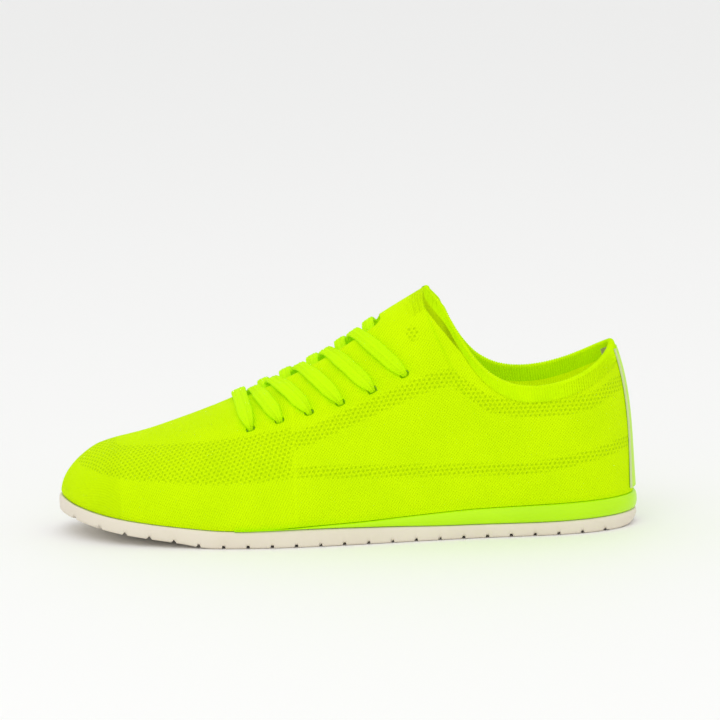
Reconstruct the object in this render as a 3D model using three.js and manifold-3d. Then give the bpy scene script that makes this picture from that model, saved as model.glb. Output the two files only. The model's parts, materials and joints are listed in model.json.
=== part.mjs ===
// Left running shoe with a knitted upper. Millimetres. +X runs to the toe, +Y to the wearer's left
// (the outer side of this left shoe), +Z up. The origin is under the middle of the shoe, on the floor.
import * as THREE from "three";
import { mergeVertices } from "three/addons/utils/BufferGeometryUtils.js";
import Module from "manifold-3d";

const wasm = await Module();
wasm.setup();

// ---------------------------------------------------------------- driving dimensions
const GAP = 0.3; // clearance between pieces that touch
const TIP_Y = -8; // the toe tip leans to the inner side
const OUTLINE = [
  [-145, 0], [-142.5, 11], [-135, 21], [-122, 29.5], [-105, 34.5], [-88, 36.2], [-60, 38], [-30, 42],
  [0, 46.5], [25, 49.4], [50, 50], [75, 47], [100, 39.5], [118, 31], [132, 19], [141, 6], [145, TIP_Y],
  [142.5, -21], [134.5, -32], [120, -41], [100, -47], [75, -49.9], [50, -50], [25, -46.5], [0, -39],
  [-30, -32.5], [-60, -31], [-88, -32.5], [-105, -32], [-122, -28.5], [-135, -20.5], [-142.5, -11],
];
// Height of the outsole's underside, of its top edge, and of the midsole's visible top edge.
const UNDERSIDE = [[-145, 3.4], [-139, 0.6], [-132, 0], [70, 0], [88, 2.3], [121, 6], [145, 10.8]];
const SOLE_EDGE = [
  [-145, 7.5], [-90, 6.7], [-50, 7], [-10, 8.3], [25, 9], [60, 8.5], [88, 10.1], [121, 13.3],
  [138, 16.6], [145, 19.3],
];
const WEDGE_TOP = [[-145, 16.3], [-100, 15.6], [-60, 14.6], [-25, 12.7], [-5, 11.4], [18, 10.4], [44, 8.9]];
const WEDGE_FRONT = 44;

const OUTSOLE_WALL = 3.6; // rim of the outsole tray
const OUTSOLE_BASE = 4; // floor of the outsole tray
const GROOVE_PITCH = 12;
const GROOVE_WIDTH = 2.6;
const GROOVE_DEPTH = 2;

const FEATHER_INSET = 0.8; // upper stands this far inside the sole's outline
const MARGIN_WIDTH = 9; // lasting margin turned in under the board
const MARGIN_THICK = 1.5;
const KNIT = 2; // thickness of the knitted upper
const BOARD_THICK = 1.5;
const FOAM_THICK = 4;
const CLOTH_THICK = 0.8;
const BOARD_INSET = 5;
const SOCKLINER_INSET = 7.2;

const FLEX_X = 64; // ball of the foot
const FLEX_Z = 19;
const FLEX_WEDGE = THREE.MathUtils.degToRad(32);

// Rim of the collar from the heel round to its front peak: x, half width, z, the x of the sole point below,
// direction of the wall below the rim (x, outward, z) and its handle length.
const RIM = [
  [-133.7, 0, 91.6, -145, -0.38, 0, -1, 26],
  [-132.3, 8.5, 89.8, -142, -0.32, 0.12, -1, 25],
  [-128, 17.5, 86.3, -136.5, -0.2, 0.16, -1, 24],
  [-121, 25, 82, -130, -0.12, 0.18, -1, 22],
  [-112, 30, 78, -122.5, -0.1, 0.15, -1, 21],
  [-100, 32.5, 74.8, -115, -0.07, 0.12, -1, 22],
  [-88, 33.2, 74, -108, -0.1, 0.13, -1, 24],
  [-77, 32.4, 76, -101.5, -0.12, 0.16, -1, 26],
  [-67, 30.4, 81.5, -96, -0.13, 0.21, -1, 28],
  [-59, 27.3, 90, -91, -0.13, 0.3, -1, 29],
  [-52, 22.5, 101.3, -87, -0.1, 0.43, -0.95, 28],
  [-45.5, 14.8, 113.3, -83, 0, 0.7, -0.84, 25],
];
// Crest of the instep from the collar's front peak to the toe: x, y, z, the x of the sole point below.
const CREST = [
  [-39, 0, 121.5, -79], [-15, 0, 107.3, -55], [0, 0, 97.2, -36], [14, -1, 88.2, -17],
  [27.5, -2, 80.8, 3], [41, -3, 74.2, 20], [54, -4, 68.3, 38], [68, -5, 62.2, 58],
  [84, -6, 56.2, 79], [100, -6.6, 51, 98], [115, -7, 47.6, 115],
];
const PEAK = RIM.length; // station of the collar's front peak
const POLE = PEAK + CREST.length - 1; // station where the crest reaches the toe cap
const TOE = POLE + 4; // station of the toe tip
const POLE_SLOPE = -0.24;
const PEAK_FORWARD = 0.45; // the wall leaves the collar's peak leaning forward, down the crest
const PEAK_FALL = 0.6;
const PEAK_HANDLE = 22.4;
const ROUND = 0.5523; // Bezier handle of a quarter ellipse
const SIDE_BULGE = 1.6;

const EYELETS = [18, 17, 16, 15, 14, 13]; // stations of the eyelet pairs, front to back
const EYELET_ARC = 35; // distance of the front pair from the crest
const EYELET_ARC_GROWTH = 1.1;
const EYELET_LONG = 4.1; // half sizes of an eyelet slit
const EYELET_IN = 2.6;
const EYELET_OUT = 2.1;
const SLOT_FRONT = 18.28;
const SLOT_BACK = 12.5;
const SLOT_HALF = 8.6;
const EYESTAY_THICK = 0.65;
const EYESTAY_OUTER = 47;

const LACE_HALF_WIDTH = 3.2;
const LACE_HALF_THICK = 1;
const LACE_OVER = 1.55; // height of the lace's middle above the upper's surface
const LACE_UNDER = -4.5;
const GUSSET_DEPTH = 6.1;
const GUSSET_THICK = 1.2;
const GUSSET_HALF = 52;

const LINING_THICK = 1.1;
const LINING_GAP = 0.8; // depth of the lining behind the knit at the rim
const COUNTER_THICK = 1.4;
const STRIP_THICK = 0.6;
const STRIP_HALF_LOW = 13;
const STRIP_HALF_HIGH = 8;
const PIPING_WIDTH = 1.3;
const PIPING_HEIGHT = 1;

// ---------------------------------------------------------------- curves
const V = (x, y, z) => new THREE.Vector3(x, y, z);

// Smooth curve through rising [x, y] points, with no overshoot.
function through(points) {
  const slope = points.slice(1).map(([x, y], i) => (y - points[i][1]) / (x - points[i][0]));
  const tangent = points.map((_, i) => {
    if (i === 0) return slope[0];
    if (i === points.length - 1) return slope[i - 1];
    const [a, b] = [slope[i - 1], slope[i]];
    return a * b <= 0 ? 0 : (2 * a * b) / (a + b);
  });
  return (x) => {
    let i = points.findIndex(([px]) => px > x) - 1;
    if (x <= points[0][0]) i = 0;
    if (i < 0) i = points.length - 2;
    const [x0, y0] = points[i];
    const [x1, y1] = points[i + 1];
    const w = x1 - x0;
    const f = THREE.MathUtils.clamp((x - x0) / w, 0, 1);
    const g = 1 - f;
    const ease0 = (1 + 2 * f) * g * g;
    const ease1 = f * f * (3 - 2 * f);
    return y0 * ease0 + y1 * ease1 + w * (tangent[i] * f * g * g - tangent[i + 1] * f * f * g);
  };
}

const undersideZ = through(UNDERSIDE);
const soleEdgeZ = through(SOLE_EDGE);
const wedgeTopZ = through(WEDGE_TOP);
const featherZ = (x) => (x < WEDGE_FRONT ? Math.max(wedgeTopZ(x), soleEdgeZ(x)) : soleEdgeZ(x));

// The sole's outline as two lists of points, each from the heel's middle to the toe tip.
function outlineSides() {
  const curve = new THREE.CatmullRomCurve3(OUTLINE.map(([x, y]) => V(x, y, 0)), true, "centripetal");
  const points = curve.getSpacedPoints(900).slice(0, 900);
  const toe = points.reduce((best, p, i) => (p.x > points[best].x ? i : best), 0);
  return { lateral: points.slice(0, toe + 1), medial: [points[0], ...points.slice(toe).reverse()] };
}

// A side of the outline moved inwards, with the distance run along it.
function insetSide(side, inset) {
  const base = SIDES[side];
  const inward = side === "lateral" ? 1 : -1;
  const points = base.map((p, i) => {
    const a = base[Math.max(i - 1, 0)];
    const b = base[Math.min(i + 1, base.length - 1)];
    const end = i === 0 || i === base.length - 1;
    const along = end ? V(0, i === 0 ? inward : -inward, 0) : b.clone().sub(a).normalize();
    return p.clone().add(V(inward * along.y, -inward * along.x, 0).multiplyScalar(inset));
  });
  const run = [0];
  for (let i = 1; i < points.length; i++) run.push(run[i - 1] + points[i].distanceTo(points[i - 1]));
  return { points, run };
}

const SIDES = outlineSides();
const FEATHER = { lateral: insetSide("lateral", FEATHER_INSET), medial: insetSide("medial", FEATHER_INSET) };

// Distance along the feather line to the point with a given x.
function runAtX(side, x) {
  const { points, run } = FEATHER[side];
  const i = points.findIndex((p) => p.x >= x);
  return run[i < 0 ? run.length - 1 : i];
}

function featherPoint(side, distance) {
  const { points, run } = FEATHER[side];
  const last = run.length - 1;
  const d = THREE.MathUtils.clamp(distance, 0, run[last]);
  const found = run.findIndex((r) => r > d);
  const i = found < 0 ? last : Math.max(found, 1);
  const p = points[i - 1].clone().lerp(points[i], (d - run[i - 1]) / (run[i] - run[i - 1]));
  const along = points[i].clone().sub(points[i - 1]).normalize();
  const out = side === "lateral" ? V(-along.y, along.x, 0) : V(along.y, -along.x, 0);
  if (d <= 0) out.set(-1, 0, 0);
  if (d >= run[last]) out.set(1, 0, 0);
  p.z = featherZ(p.x) + GAP;
  return { p, out };
}

// ---------------------------------------------------------------- surface of the upper
// Stations run 0 (heel) to PEAK (front of the collar) to POLE (toe cap) to TOE (toe tip) on each side.
function stationTable(side) {
  const rows = RIM.map(([x, half, z, foot, dx, dy, dz, handle]) => ({
    x, y: 0, half, z, run: runAtX(side, foot), dx, dy, dz, handle,
  }));
  CREST.forEach(([x, y, z, foot]) =>
    rows.push({ x, y, half: 0, z, run: runAtX(side, foot), dx: PEAK_FORWARD, dy: 1, dz: -PEAK_FALL * PEAK_FORWARD, handle: PEAK_HANDLE }),
  );
  const pole = rows[POLE];
  const total = FEATHER[side].run.at(-1);
  for (let k = 1; k <= TOE - POLE; k++) {
    rows.push({ ...pole, run: pole.run + ((total - pole.run) * k) / (TOE - POLE) });
  }
  rows[0].run = 0;
  return rows;
}

const TABLES = { lateral: stationTable("lateral"), medial: stationTable("medial") };
const ODD_AT_HEEL = new Set(["half", "dy", "run"]);
const MIRROR_AT_PEAK = { x: 1, z: 1, half: -1 }; // the rim turns back over the peak

// Catmull-Rom value of one column of the station table.
function column(side, key, t) {
  const rows = TABLES[side];
  const last = rows.length - 1;
  const i = Math.min(Math.floor(t), last - 1);
  const f = t - i;
  let before = i > 0 ? rows[i - 1][key] : (ODD_AT_HEEL.has(key) ? -1 : 1) * rows[1][key];
  let after = i + 2 <= last ? rows[i + 2][key] : 2 * rows[last][key] - rows[last - 1][key];
  if (i === PEAK - 1 && key in MIRROR_AT_PEAK) after = MIRROR_AT_PEAK[key] * rows[i][key];
  if (i === PEAK && key in MIRROR_AT_PEAK) before = 2 * rows[PEAK][key] - rows[PEAK + 1][key];
  const [a, b] = [rows[i][key], rows[i + 1][key]];
  const [ta, tb] = [(b - before) / 2, (after - a) / 2];
  const f2 = f * f;
  const f3 = f2 * f;
  return a * (2 * f3 - 3 * f2 + 1) + b * (3 * f2 - 2 * f3) + ta * (f3 - 2 * f2 + f) + tb * (f3 - f2);
}

// Control points of the profile that climbs from the feather line to the rim or crest.
function profile(side, t) {
  const sign = side === "lateral" ? 1 : -1;
  const at = (key) => column(side, key, t);
  const { p: foot, out } = featherPoint(side, at("run"));
  const half = t >= PEAK ? 0 : Math.max(at("half"), 0);
  const top = t >= POLE ? V(...CREST.at(-1).slice(0, 3)) : V(at("x"), at("y") + sign * half, at("z"));
  const front = THREE.MathUtils.clamp((t - PEAK + 3) / 3, 0, 1) ** 2;
  const rise = 0.36 + (ROUND - 0.36) * front;
  const lean = t >= POLE ? 0 : 1;
  const low = foot.clone().add(V(lean * (top.x - foot.x), 0, top.z - foot.z).multiplyScalar(rise));
  low.addScaledVector(out, SIDE_BULGE);
  const across = Math.abs(foot.y - top.y) * ROUND;
  let high;
  if (t >= POLE) {
    const dx = foot.x - top.x;
    high = top.clone().add(V(dx, foot.y - top.y, POLE_SLOPE * dx).multiplyScalar(ROUND));
  } else if (t >= PEAK) {
    const forward = across * PEAK_FORWARD * (1 - THREE.MathUtils.smoothstep(t, PEAK, PEAK + 1));
    high = top.clone().add(V(forward, sign * across, -PEAK_FALL * forward));
  } else {
    const aim = V(at("dx"), sign * at("dy"), at("dz")).normalize();
    high = top.clone().addScaledVector(aim, at("handle"));
  }
  return [foot, low, high, top];
}

function bezier([a, b, c, d], v) {
  const u = 1 - v;
  return a.clone().multiplyScalar(u * u * u).addScaledVector(b, 3 * u * u * v)
    .addScaledVector(c, 3 * u * v * v).addScaledVector(d, v * v * v);
}

const outer = (side, t, v) => bezier(profile(side, t), v);

function crestNormal(t) {
  const clamped = Math.min(t, POLE);
  const a = outer("lateral", Math.max(clamped - 0.05, PEAK), 1);
  const b = outer("lateral", Math.min(clamped + 0.05, POLE), 1);
  return t >= POLE ? V(-POLE_SLOPE, 0, 1).normalize() : V(0, 1, 0).cross(b.sub(a)).normalize().negate();
}

function normalAt(side, t, v) {
  if (t >= PEAK && v > 0.995) return crestNormal(t);
  const step = 0.02;
  const [t0, t1] = [Math.max(t - step, 0), Math.min(t + step, TOE)];
  const [v0, v1] = [Math.max(v - step, 0), Math.min(v + step, 1)];
  const alongT = outer(side, t1, v).sub(outer(side, t0, v));
  if (t === 0) alongT.set(0, alongT.y, 0);
  if (t === TOE) alongT.set(0, alongT.y, 0);
  const alongV = outer(side, t, v1).sub(outer(side, t, v0));
  const n = alongT.cross(alongV).normalize();
  return side === "lateral" ? n.negate() : n;
}

// Point at a height above (or, if negative, a depth below) the upper's outer surface.
const off = (side, t, v, height) => outer(side, t, v).addScaledVector(normalAt(side, t, v), height);

// Profile parameter at a distance from the crest or rim.
function paramAtArc(side, t, arc) {
  const curve = profile(side, t);
  const steps = 80;
  let walked = 0;
  let last = curve[3];
  for (let k = 1; k <= steps; k++) {
    const next = bezier(curve, 1 - k / steps);
    const d = next.distanceTo(last);
    if (walked + d >= arc) return 1 - (k - 1 + (arc - walked) / d) / steps;
    walked += d;
    last = next;
  }
  return 0;
}

// Point on the instep: station, signed distance across from the crest, height above the surface.
function onInstep(t, across, height) {
  const side = across >= 0 ? "lateral" : "medial";
  return off(side, t, paramAtArc(side, t, Math.abs(across)), height);
}

// ---------------------------------------------------------------- solids
function geometryOf(triangles) {
  const kept = triangles.filter(
    ([a, b, c]) => a.distanceTo(b) > 1e-4 && b.distanceTo(c) > 1e-4 && c.distanceTo(a) > 1e-4,
  );
  const g = new THREE.BufferGeometry().setFromPoints(kept.flat());
  const volume = kept.reduce((sum, [a, b, c]) => sum + a.dot(b.clone().cross(c)), 0);
  if (volume >= 0) return mergeVertices(g, 1e-4);
  return mergeVertices(new THREE.BufferGeometry().setFromPoints(kept.flatMap(([a, b, c]) => [a, c, b])), 1e-4);
}

const quad = (a, b, c, d) => [[a, b, c], [a, c, d]];

// Solid through a row of closed rings, with flat ends.
function loft(rings) {
  const triangles = [];
  const n = rings[0].length;
  for (let i = 0; i + 1 < rings.length; i++) {
    for (let j = 0; j < n; j++) {
      const k = (j + 1) % n;
      triangles.push(...quad(rings[i][j], rings[i][k], rings[i + 1][k], rings[i + 1][j]));
    }
  }
  for (let j = 1; j + 1 < n; j++) {
    triangles.push([rings[0][0], rings[0][j + 1], rings[0][j]]);
    triangles.push([rings.at(-1)[0], rings.at(-1)[j], rings.at(-1)[j + 1]]);
  }
  return geometryOf(triangles);
}

// Slab between two grids of points.
function slab(topGrid, bottomGrid) {
  const rings = topGrid.map((row, i) => [...row, ...bottomGrid[i].slice().reverse()]);
  const triangles = [];
  const n = rings[0].length;
  const m = topGrid[0].length;
  for (let i = 0; i + 1 < rings.length; i++) {
    for (let j = 0; j < n; j++) {
      const k = (j + 1) % n;
      triangles.push(...quad(rings[i][j], rings[i][k], rings[i + 1][k], rings[i + 1][j]));
    }
  }
  for (let j = 0; j + 1 < m; j++) {
    const [a, b] = [0, rings.length - 1];
    triangles.push(...quad(rings[a][j + 1], rings[a][j], rings[a][n - 1 - j], rings[a][n - 2 - j]));
    triangles.push(...quad(rings[b][j], rings[b][j + 1], rings[b][n - 2 - j], rings[b][n - 1 - j]));
  }
  return geometryOf(triangles);
}

function toSolid(geometry) {
  const bare = new THREE.BufferGeometry().setAttribute("position", geometry.getAttribute("position"));
  if (geometry.index) bare.setIndex(geometry.index);
  const merged = mergeVertices(bare, 1e-4);
  return new wasm.Manifold(
    new wasm.Mesh({
      numProp: 3,
      vertProperties: new Float32Array(merged.attributes.position.array),
      triVerts: new Uint32Array(merged.index.array),
    }),
  );
}

function fromSolid(solid) {
  const mesh = solid.getMesh();
  const g = new THREE.BufferGeometry();
  g.setAttribute("position", new THREE.BufferAttribute(mesh.vertProperties, 3));
  g.setIndex(new THREE.BufferAttribute(mesh.triVerts, 1));
  return g;
}

const boxSolid = (x0, x1, y0, y1, z0, z1) =>
  toSolid(new THREE.BoxGeometry(x1 - x0, y1 - y0, z1 - z0).translate((x0 + x1) / 2, (y0 + y1) / 2, (z0 + z1) / 2));

// Everything in front of, or behind, the line where the shoe bends; the front part leans forward above it.
const FAR = 400;
const behindFlex = boxSolid(-FAR, FLEX_X - GAP / 2, -FAR, FAR, -FAR, FAR);
const beforeFlexLow = boxSolid(FLEX_X + GAP / 2, FAR, -FAR, FAR, -FAR, FAR);
function beforeFlexHigh() {
  const g = new THREE.BoxGeometry(FAR, 2 * FAR, 2 * FAR).translate(FAR / 2 + GAP, 0, 0);
  g.rotateY(FLEX_WEDGE).translate(FLEX_X, 0, FLEX_Z);
  return toSolid(g).intersect(beforeFlexLow);
}
const inFrontOfWedge = beforeFlexHigh();

// ---------------------------------------------------------------- sole layers
// Widths of the sole's outline, moved in by an inset, at stations that crowd together at the round ends.
function ribs(inset, from, to, count) {
  const sides = { lateral: insetSide("lateral", inset), medial: insetSide("medial", inset) };
  const [x0, x1] = [Math.max(from, -145 + inset + 0.05), Math.min(to, 145 - inset - 0.05)];
  const yAt = (side, x) => {
    const { points } = sides[side];
    const i = Math.max(points.findIndex((p) => p.x > x), 1);
    const [a, b] = [points[i - 1], points[i]];
    return a.y + ((b.y - a.y) * (x - a.x)) / Math.max(b.x - a.x, 1e-6);
  };
  const list = [];
  for (let k = 0; k <= count; k++) {
    const even = k / count;
    const crowded = (1 - Math.cos(Math.PI * even)) / 2;
    const x = x0 + (x1 - x0) * (0.25 * even + 0.75 * crowded);
    list.push({ x, low: yAt("medial", x), high: yAt("lateral", x) });
  }
  return list;
}

function plate(inset, from, to, count, bottomZ, topZ) {
  return loft(
    ribs(inset, from, to, count).map(({ x, low, high }) => [
      V(x, low, bottomZ(x)), V(x, high, bottomZ(x)), V(x, high, topZ(x)), V(x, low, topZ(x)),
    ]),
  );
}

function outsole() {
  let solid = toSolid(plate(0, -FAR, FAR, 40, undersideZ, soleEdgeZ));
  const trayFloor = (x) => undersideZ(x) + OUTSOLE_BASE;
  solid = solid.subtract(toSolid(plate(OUTSOLE_WALL, -FAR, FAR, 34, trayFloor, (x) => soleEdgeZ(x) + 5)));
  for (let x = -126; x < 140; x += GROOVE_PITCH) {
    const z = undersideZ(x) - 5;
    const cut = boxSolid(x - GROOVE_WIDTH / 2, x + GROOVE_WIDTH / 2, -60, 60, z, z + 5 + GROOVE_DEPTH);
    solid = solid.subtract(cut);
  }
  return solid;
}

function midsole() {
  const inner = OUTSOLE_WALL + GAP;
  const floorZ = (x) => undersideZ(x) + OUTSOLE_BASE + GAP;
  const core = toSolid(plate(inner, -FAR, FAR, 34, floorZ, (x) => soleEdgeZ(x)));
  const wedgeLow = (x) => soleEdgeZ(x) + GAP;
  const wedge = plate(0.2, -FAR, WEDGE_FRONT - 14, 30, wedgeLow, (x) => Math.max(wedgeTopZ(x), wedgeLow(x) + 0.3));
  const bridge = plate(inner, -FAR, WEDGE_FRONT - 16, 24, (x) => soleEdgeZ(x) - 1, (x) => soleEdgeZ(x) + 1);
  return core.add(toSolid(wedge)).add(toSolid(bridge));
}

const TOE_LIFT = 0.7; // the board rides a little higher over the curled toe
const marginTop = (x) => featherZ(x) + GAP + MARGIN_THICK;
const boardLow = (x) => marginTop(x) + GAP + TOE_LIFT * THREE.MathUtils.smoothstep(x, 112, 130);
const foamLow = (x) => boardLow(x) + BOARD_THICK + GAP;
const clothLow = (x) => foamLow(x) + FOAM_THICK + GAP;

const layer = (inset, low, thick) =>
  toSolid(plate(inset, -FAR, FAR, 30, low, (x) => low(x) + thick));

// ---------------------------------------------------------------- upper
const FAN_STEPS = 3;

function stations(from, to, perStation) {
  const list = [];
  const count = Math.round((to - from) * perStation);
  for (let k = 0; k <= count; k++) list.push(from + ((to - from) * k) / count);
  return list;
}

const WALL_STEPS = [0, 0.06, 0.16, 0.28, 0.4, 0.52, 0.64, 0.76, 0.88, 1];

// Outer and inner points of one profile, from the lasting margin's inner edge to the rim or crest.
function upperProfile(side, t) {
  const { out } = featherPoint(side, column(side, "run", t));
  const foot = outer(side, t, 0);
  const wall = WALL_STEPS.map((v) => off(side, t, v, 0));
  const inside = WALL_STEPS.map((v) => off(side, t, v, -KNIT));
  const lowest = foot.z + MARGIN_THICK;
  inside[0] = foot.clone().addScaledVector(out, -KNIT - 0.5).setZ(lowest);
  if (inside[1].z < lowest + 0.5) inside[1].z = lowest + 0.5;
  const edge = foot.clone().addScaledVector(out, -MARGIN_WIDTH);
  edge.z = featherZ(edge.x) + GAP;
  const turn = foot.clone().addScaledVector(out, -0.8);
  return {
    outside: [edge, turn, ...wall.slice(1)],
    inside: [edge.clone().setZ(edge.z + MARGIN_THICK), ...inside],
  };
}

function upper() {
  const perSide = [...stations(0, PEAK, 2), ...stations(PEAK, TOE, 2).slice(1)];
  const lateral = perSide.map((t) => ({ t, ...upperProfile("lateral", t) }));
  const medial = perSide.map((t) => ({ t, ...upperProfile("medial", t) }));
  const triangles = [];
  const m = lateral[0].outside.length;
  // The two sides share the heel's and the toe's middle profile.
  for (const [rows, flip] of [[lateral, false], [medial, true]]) {
    for (let i = 0; i + 1 < rows.length; i++) {
      const [a, b] = [rows[i], rows[i + 1]];
      const faces = [];
      for (let j = 0; j + 1 < m; j++) {
        faces.push(...quad(a.outside[j], b.outside[j], b.outside[j + 1], a.outside[j + 1]));
      }
      for (let j = 0; j + 1 < a.inside.length; j++) {
        faces.push(...quad(a.inside[j], a.inside[j + 1], b.inside[j + 1], b.inside[j]));
      }
      faces.push(...quad(a.outside[0], a.inside[0], b.inside[0], b.outside[0]));
      if (b.t <= PEAK) {
        faces.push(...quad(a.outside.at(-1), b.outside.at(-1), b.inside.at(-1), a.inside.at(-1)));
      }
      triangles.push(...(flip ? faces.map(([p, q, r]) => [p, r, q]) : faces));
    }
  }
  return toSolid(geometryOf(triangles));
}

// Millimetres per station along the surface, at a point of the instep.
function stationLength(t, across) {
  return onInstep(t + 0.05, across, 0).distanceTo(onInstep(t - 0.05, across, 0)) / 0.1;
}

// Slab that follows the instep between two depths; halves is a list of [station, from, to] across it.
function instepSlab(rows, steps, high, low) {
  const grid = (height) =>
    rows.map(([t, from, to]) => {
      const row = [];
      for (let k = 0; k <= steps; k++) {
        const across = from + ((to - from) * k) / steps;
        row.push(onInstep(t, across, typeof height === "function" ? height(across) : height));
      }
      return row;
    });
  return slab(grid(high), grid(low));
}

const eyeletArc = (t) => EYELET_ARC + (EYELETS[0] - t) * EYELET_ARC_GROWTH;

function eyeletCutters() {
  const cutters = [];
  for (const t of EYELETS) {
    const arc = eyeletArc(t);
    for (const side of [1, -1]) {
      const half = EYELET_LONG / stationLength(t, side * arc);
      const [a, b] = [side * (arc - EYELET_IN), side * (arc + EYELET_OUT)];
      const rows = [-1, -0.5, 0, 0.5, 1].map((k) => [t + k * half, Math.min(a, b), Math.max(a, b)]);
      cutters.push(toSolid(instepSlab(rows, 1, 4, -5)));
    }
  }
  return cutters;
}

function throatCutter() {
  const rows = stations(SLOT_BACK, SLOT_FRONT, 3).map((t) => {
    const end = Math.min((SLOT_FRONT - t) / 0.28, (t - SLOT_BACK) / 0.3, 1);
    const half = SLOT_HALF * Math.sqrt(Math.max(1 - (1 - end) ** 2, 0.12));
    return [t, -half, half];
  });
  return toSolid(instepSlab(rows, 4, 5, -5));
}

function eyestay(side) {
  const rows = stations(12.45, 18.55, 2).map((t) => {
    const [a, b] = [side * (SLOT_HALF + 0.6), side * EYESTAY_OUTER];
    return [t, Math.min(a, b), Math.max(a, b)];
  });
  const high = -KNIT - 2 * GAP;
  return toSolid(instepSlab(rows, 6, high, high - EYESTAY_THICK));
}

function gusset() {
  const rows = stations(12.15, 18.9, 1.5).map((t) => [t, -GUSSET_HALF, GUSSET_HALF]);
  const lift = (across) => THREE.MathUtils.smoothstep(Math.abs(across), GUSSET_HALF - 9, GUSSET_HALF);
  const high = (across) => -GUSSET_DEPTH + lift(across) * (GUSSET_DEPTH - KNIT - 3 * GAP);
  return toSolid(instepSlab(rows, 12, high, (across) => high(across) - GUSSET_THICK));
}

// Slab on one or both sides of the heel, following the wall between two depths.
function wallSlab(list, params, high, low) {
  const grid = (height) =>
    list.map(([side, t]) => params(t).map((v) => off(side, t, v, height(t, v))));
  return toSolid(slab(grid(high), grid(low)));
}

const roundHeel = (to, perStation) => {
  const one = stations(0, to, perStation);
  return [...one.slice(1).reverse().map((t) => ["medial", t]), ...one.map((t) => ["lateral", t])];
};

const evenly = (from, to, count) =>
  Array.from({ length: count + 1 }, (_, k) => from + ((to - from) * k) / count);

const LINING_STEPS = [0.16, 0.28, 0.4, 0.52, 0.64, 0.76, 0.88, 0.985];

function collarLining() {
  const deep = KNIT + GAP + COUNTER_THICK + GAP;
  const shallow = KNIT + LINING_GAP;
  const depth = (t, v) => deep + (shallow - deep) * THREE.MathUtils.smoothstep(v, 0.62, 0.9);
  return wallSlab(
    roundHeel(11, 2),
    () => LINING_STEPS,
    (t, v) => -depth(t, v),
    (t, v) => -depth(t, v) - LINING_THICK,
  );
}

function heelCounter() {
  const top = (t) => 0.58 - 0.26 * THREE.MathUtils.smoothstep(t, 3, 7);
  return wallSlab(
    roundHeel(7, 2),
    (t) => evenly(0.13, top(t), 5),
    () => -KNIT - GAP,
    () => -KNIT - GAP - COUNTER_THICK,
  );
}

function toePuff() {
  const rows = [...stations(21.4, TOE, 2).map((t) => ["lateral", t])];
  const back = stations(21.4, TOE, 2).slice(0, -1).reverse().map((t) => ["medial", t]);
  return wallSlab(
    [...rows, ...back],
    () => evenly(0.2, 0.62, 4),
    () => -KNIT - GAP,
    () => -KNIT - GAP - 0.8,
  );
}

// Station on the heel at a distance round from its middle.
function heelStation(side, v, distance) {
  let walked = 0;
  let last = outer(side, 0, v);
  for (let t = 0.05; t < 6; t += 0.05) {
    const next = outer(side, t, v);
    walked += next.distanceTo(last);
    if (walked >= distance) return t - (0.05 * (walked - distance)) / next.distanceTo(last);
    last = next;
  }
  return 6;
}

// Upright band on the heel between two distances from its middle, on one side or across both.
function heelBand(from, to, v0, v1, low, high, steps) {
  const grid = (height) =>
    evenly(v0, v1, 10).map((v) =>
      evenly(0, 1, steps).map((k) => {
        const d = from(v) + (to(v) - from(v)) * k;
        const side = d >= 0 ? "lateral" : "medial";
        return off(side, heelStation(side, v, Math.abs(d)), v, height);
      }),
    );
  return toSolid(slab(grid(high), grid(low)));
}

const stripHalf = (v) => STRIP_HALF_LOW + (STRIP_HALF_HIGH - STRIP_HALF_LOW) * v;

const heelStrip = () =>
  heelBand((v) => -stripHalf(v), stripHalf, 0.03, 0.97, GAP, GAP + STRIP_THICK, 8);

function heelPiping(side) {
  const near = (v) => side * (stripHalf(v) + GAP);
  const far = (v) => side * (stripHalf(v) + GAP + PIPING_WIDTH);
  return heelBand(near, far, 0.03, 0.985, GAP, GAP + PIPING_HEIGHT, 1);
}

function heelPatch() {
  const depth = KNIT + LINING_GAP + LINING_THICK + GAP;
  const grid = (height) =>
    evenly(0.8, 0.965, 4).map((v) =>
      evenly(-13, 13, 8).map((d) => {
        const side = d >= 0 ? "lateral" : "medial";
        const lower = 1.8 * (1 - THREE.MathUtils.smoothstep(v, 0.62, 0.9));
        return off(side, heelStation(side, v, Math.abs(d)), v, -depth - lower - height);
      }),
    );
  return toSolid(slab(grid(0), grid(0.6)));
}

// ---------------------------------------------------------------- lace
// A strap leaves one eyelet under its eyestay, comes up through the throat and goes down the opposite
// eyelet. Each step: distance across (in eyelet arcs beyond 12, else mm), share of the pitch, height.
const TOP_STRAP = [[-9.6, 0, LACE_UNDER], [-6, 0.04, -3.6], [-2, 0.12, -1.1], [2, 0.2, 0.6], [6, 0.28, 1.4],
  [11, 0.38, LACE_OVER]];
const LOW_STRAP = [[-10, 0.52, LACE_UNDER], [-6, 0.58, -4.3], [-2, 0.64, -2.9], [2, 0.7, -0.9],
  [6, 0.75, 1], [10, 0.8, LACE_OVER]];
const FIRST_TOP = [[-10, 0.3, LACE_UNDER], [-6, 0.36, -4], [-2, 0.43, -1.9], [2, 0.5, 0.3], [6, 0.56, 1.4],
  [11, 0.62, LACE_OVER]];
const FIRST_LOW = [[-10, 0.66, LACE_UNDER], [-6, 0.76, -4.3], [-2, 0.84, -2.9], [2, 0.9, -0.9],
  [6, 0.93, 1], [10, 0.95, LACE_OVER]];

// Down through an eyelet, as [distance inside the eyelet, height], from above.
const DIVE = [[7, LACE_OVER], [3.6, 1.5], [1.6, 1.0], [0.4, -0.1], [0, -1.6], [0.3, -3.0], [1.4, -4.1], [3.4, -4.5],
  [7, LACE_UNDER]];

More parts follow.
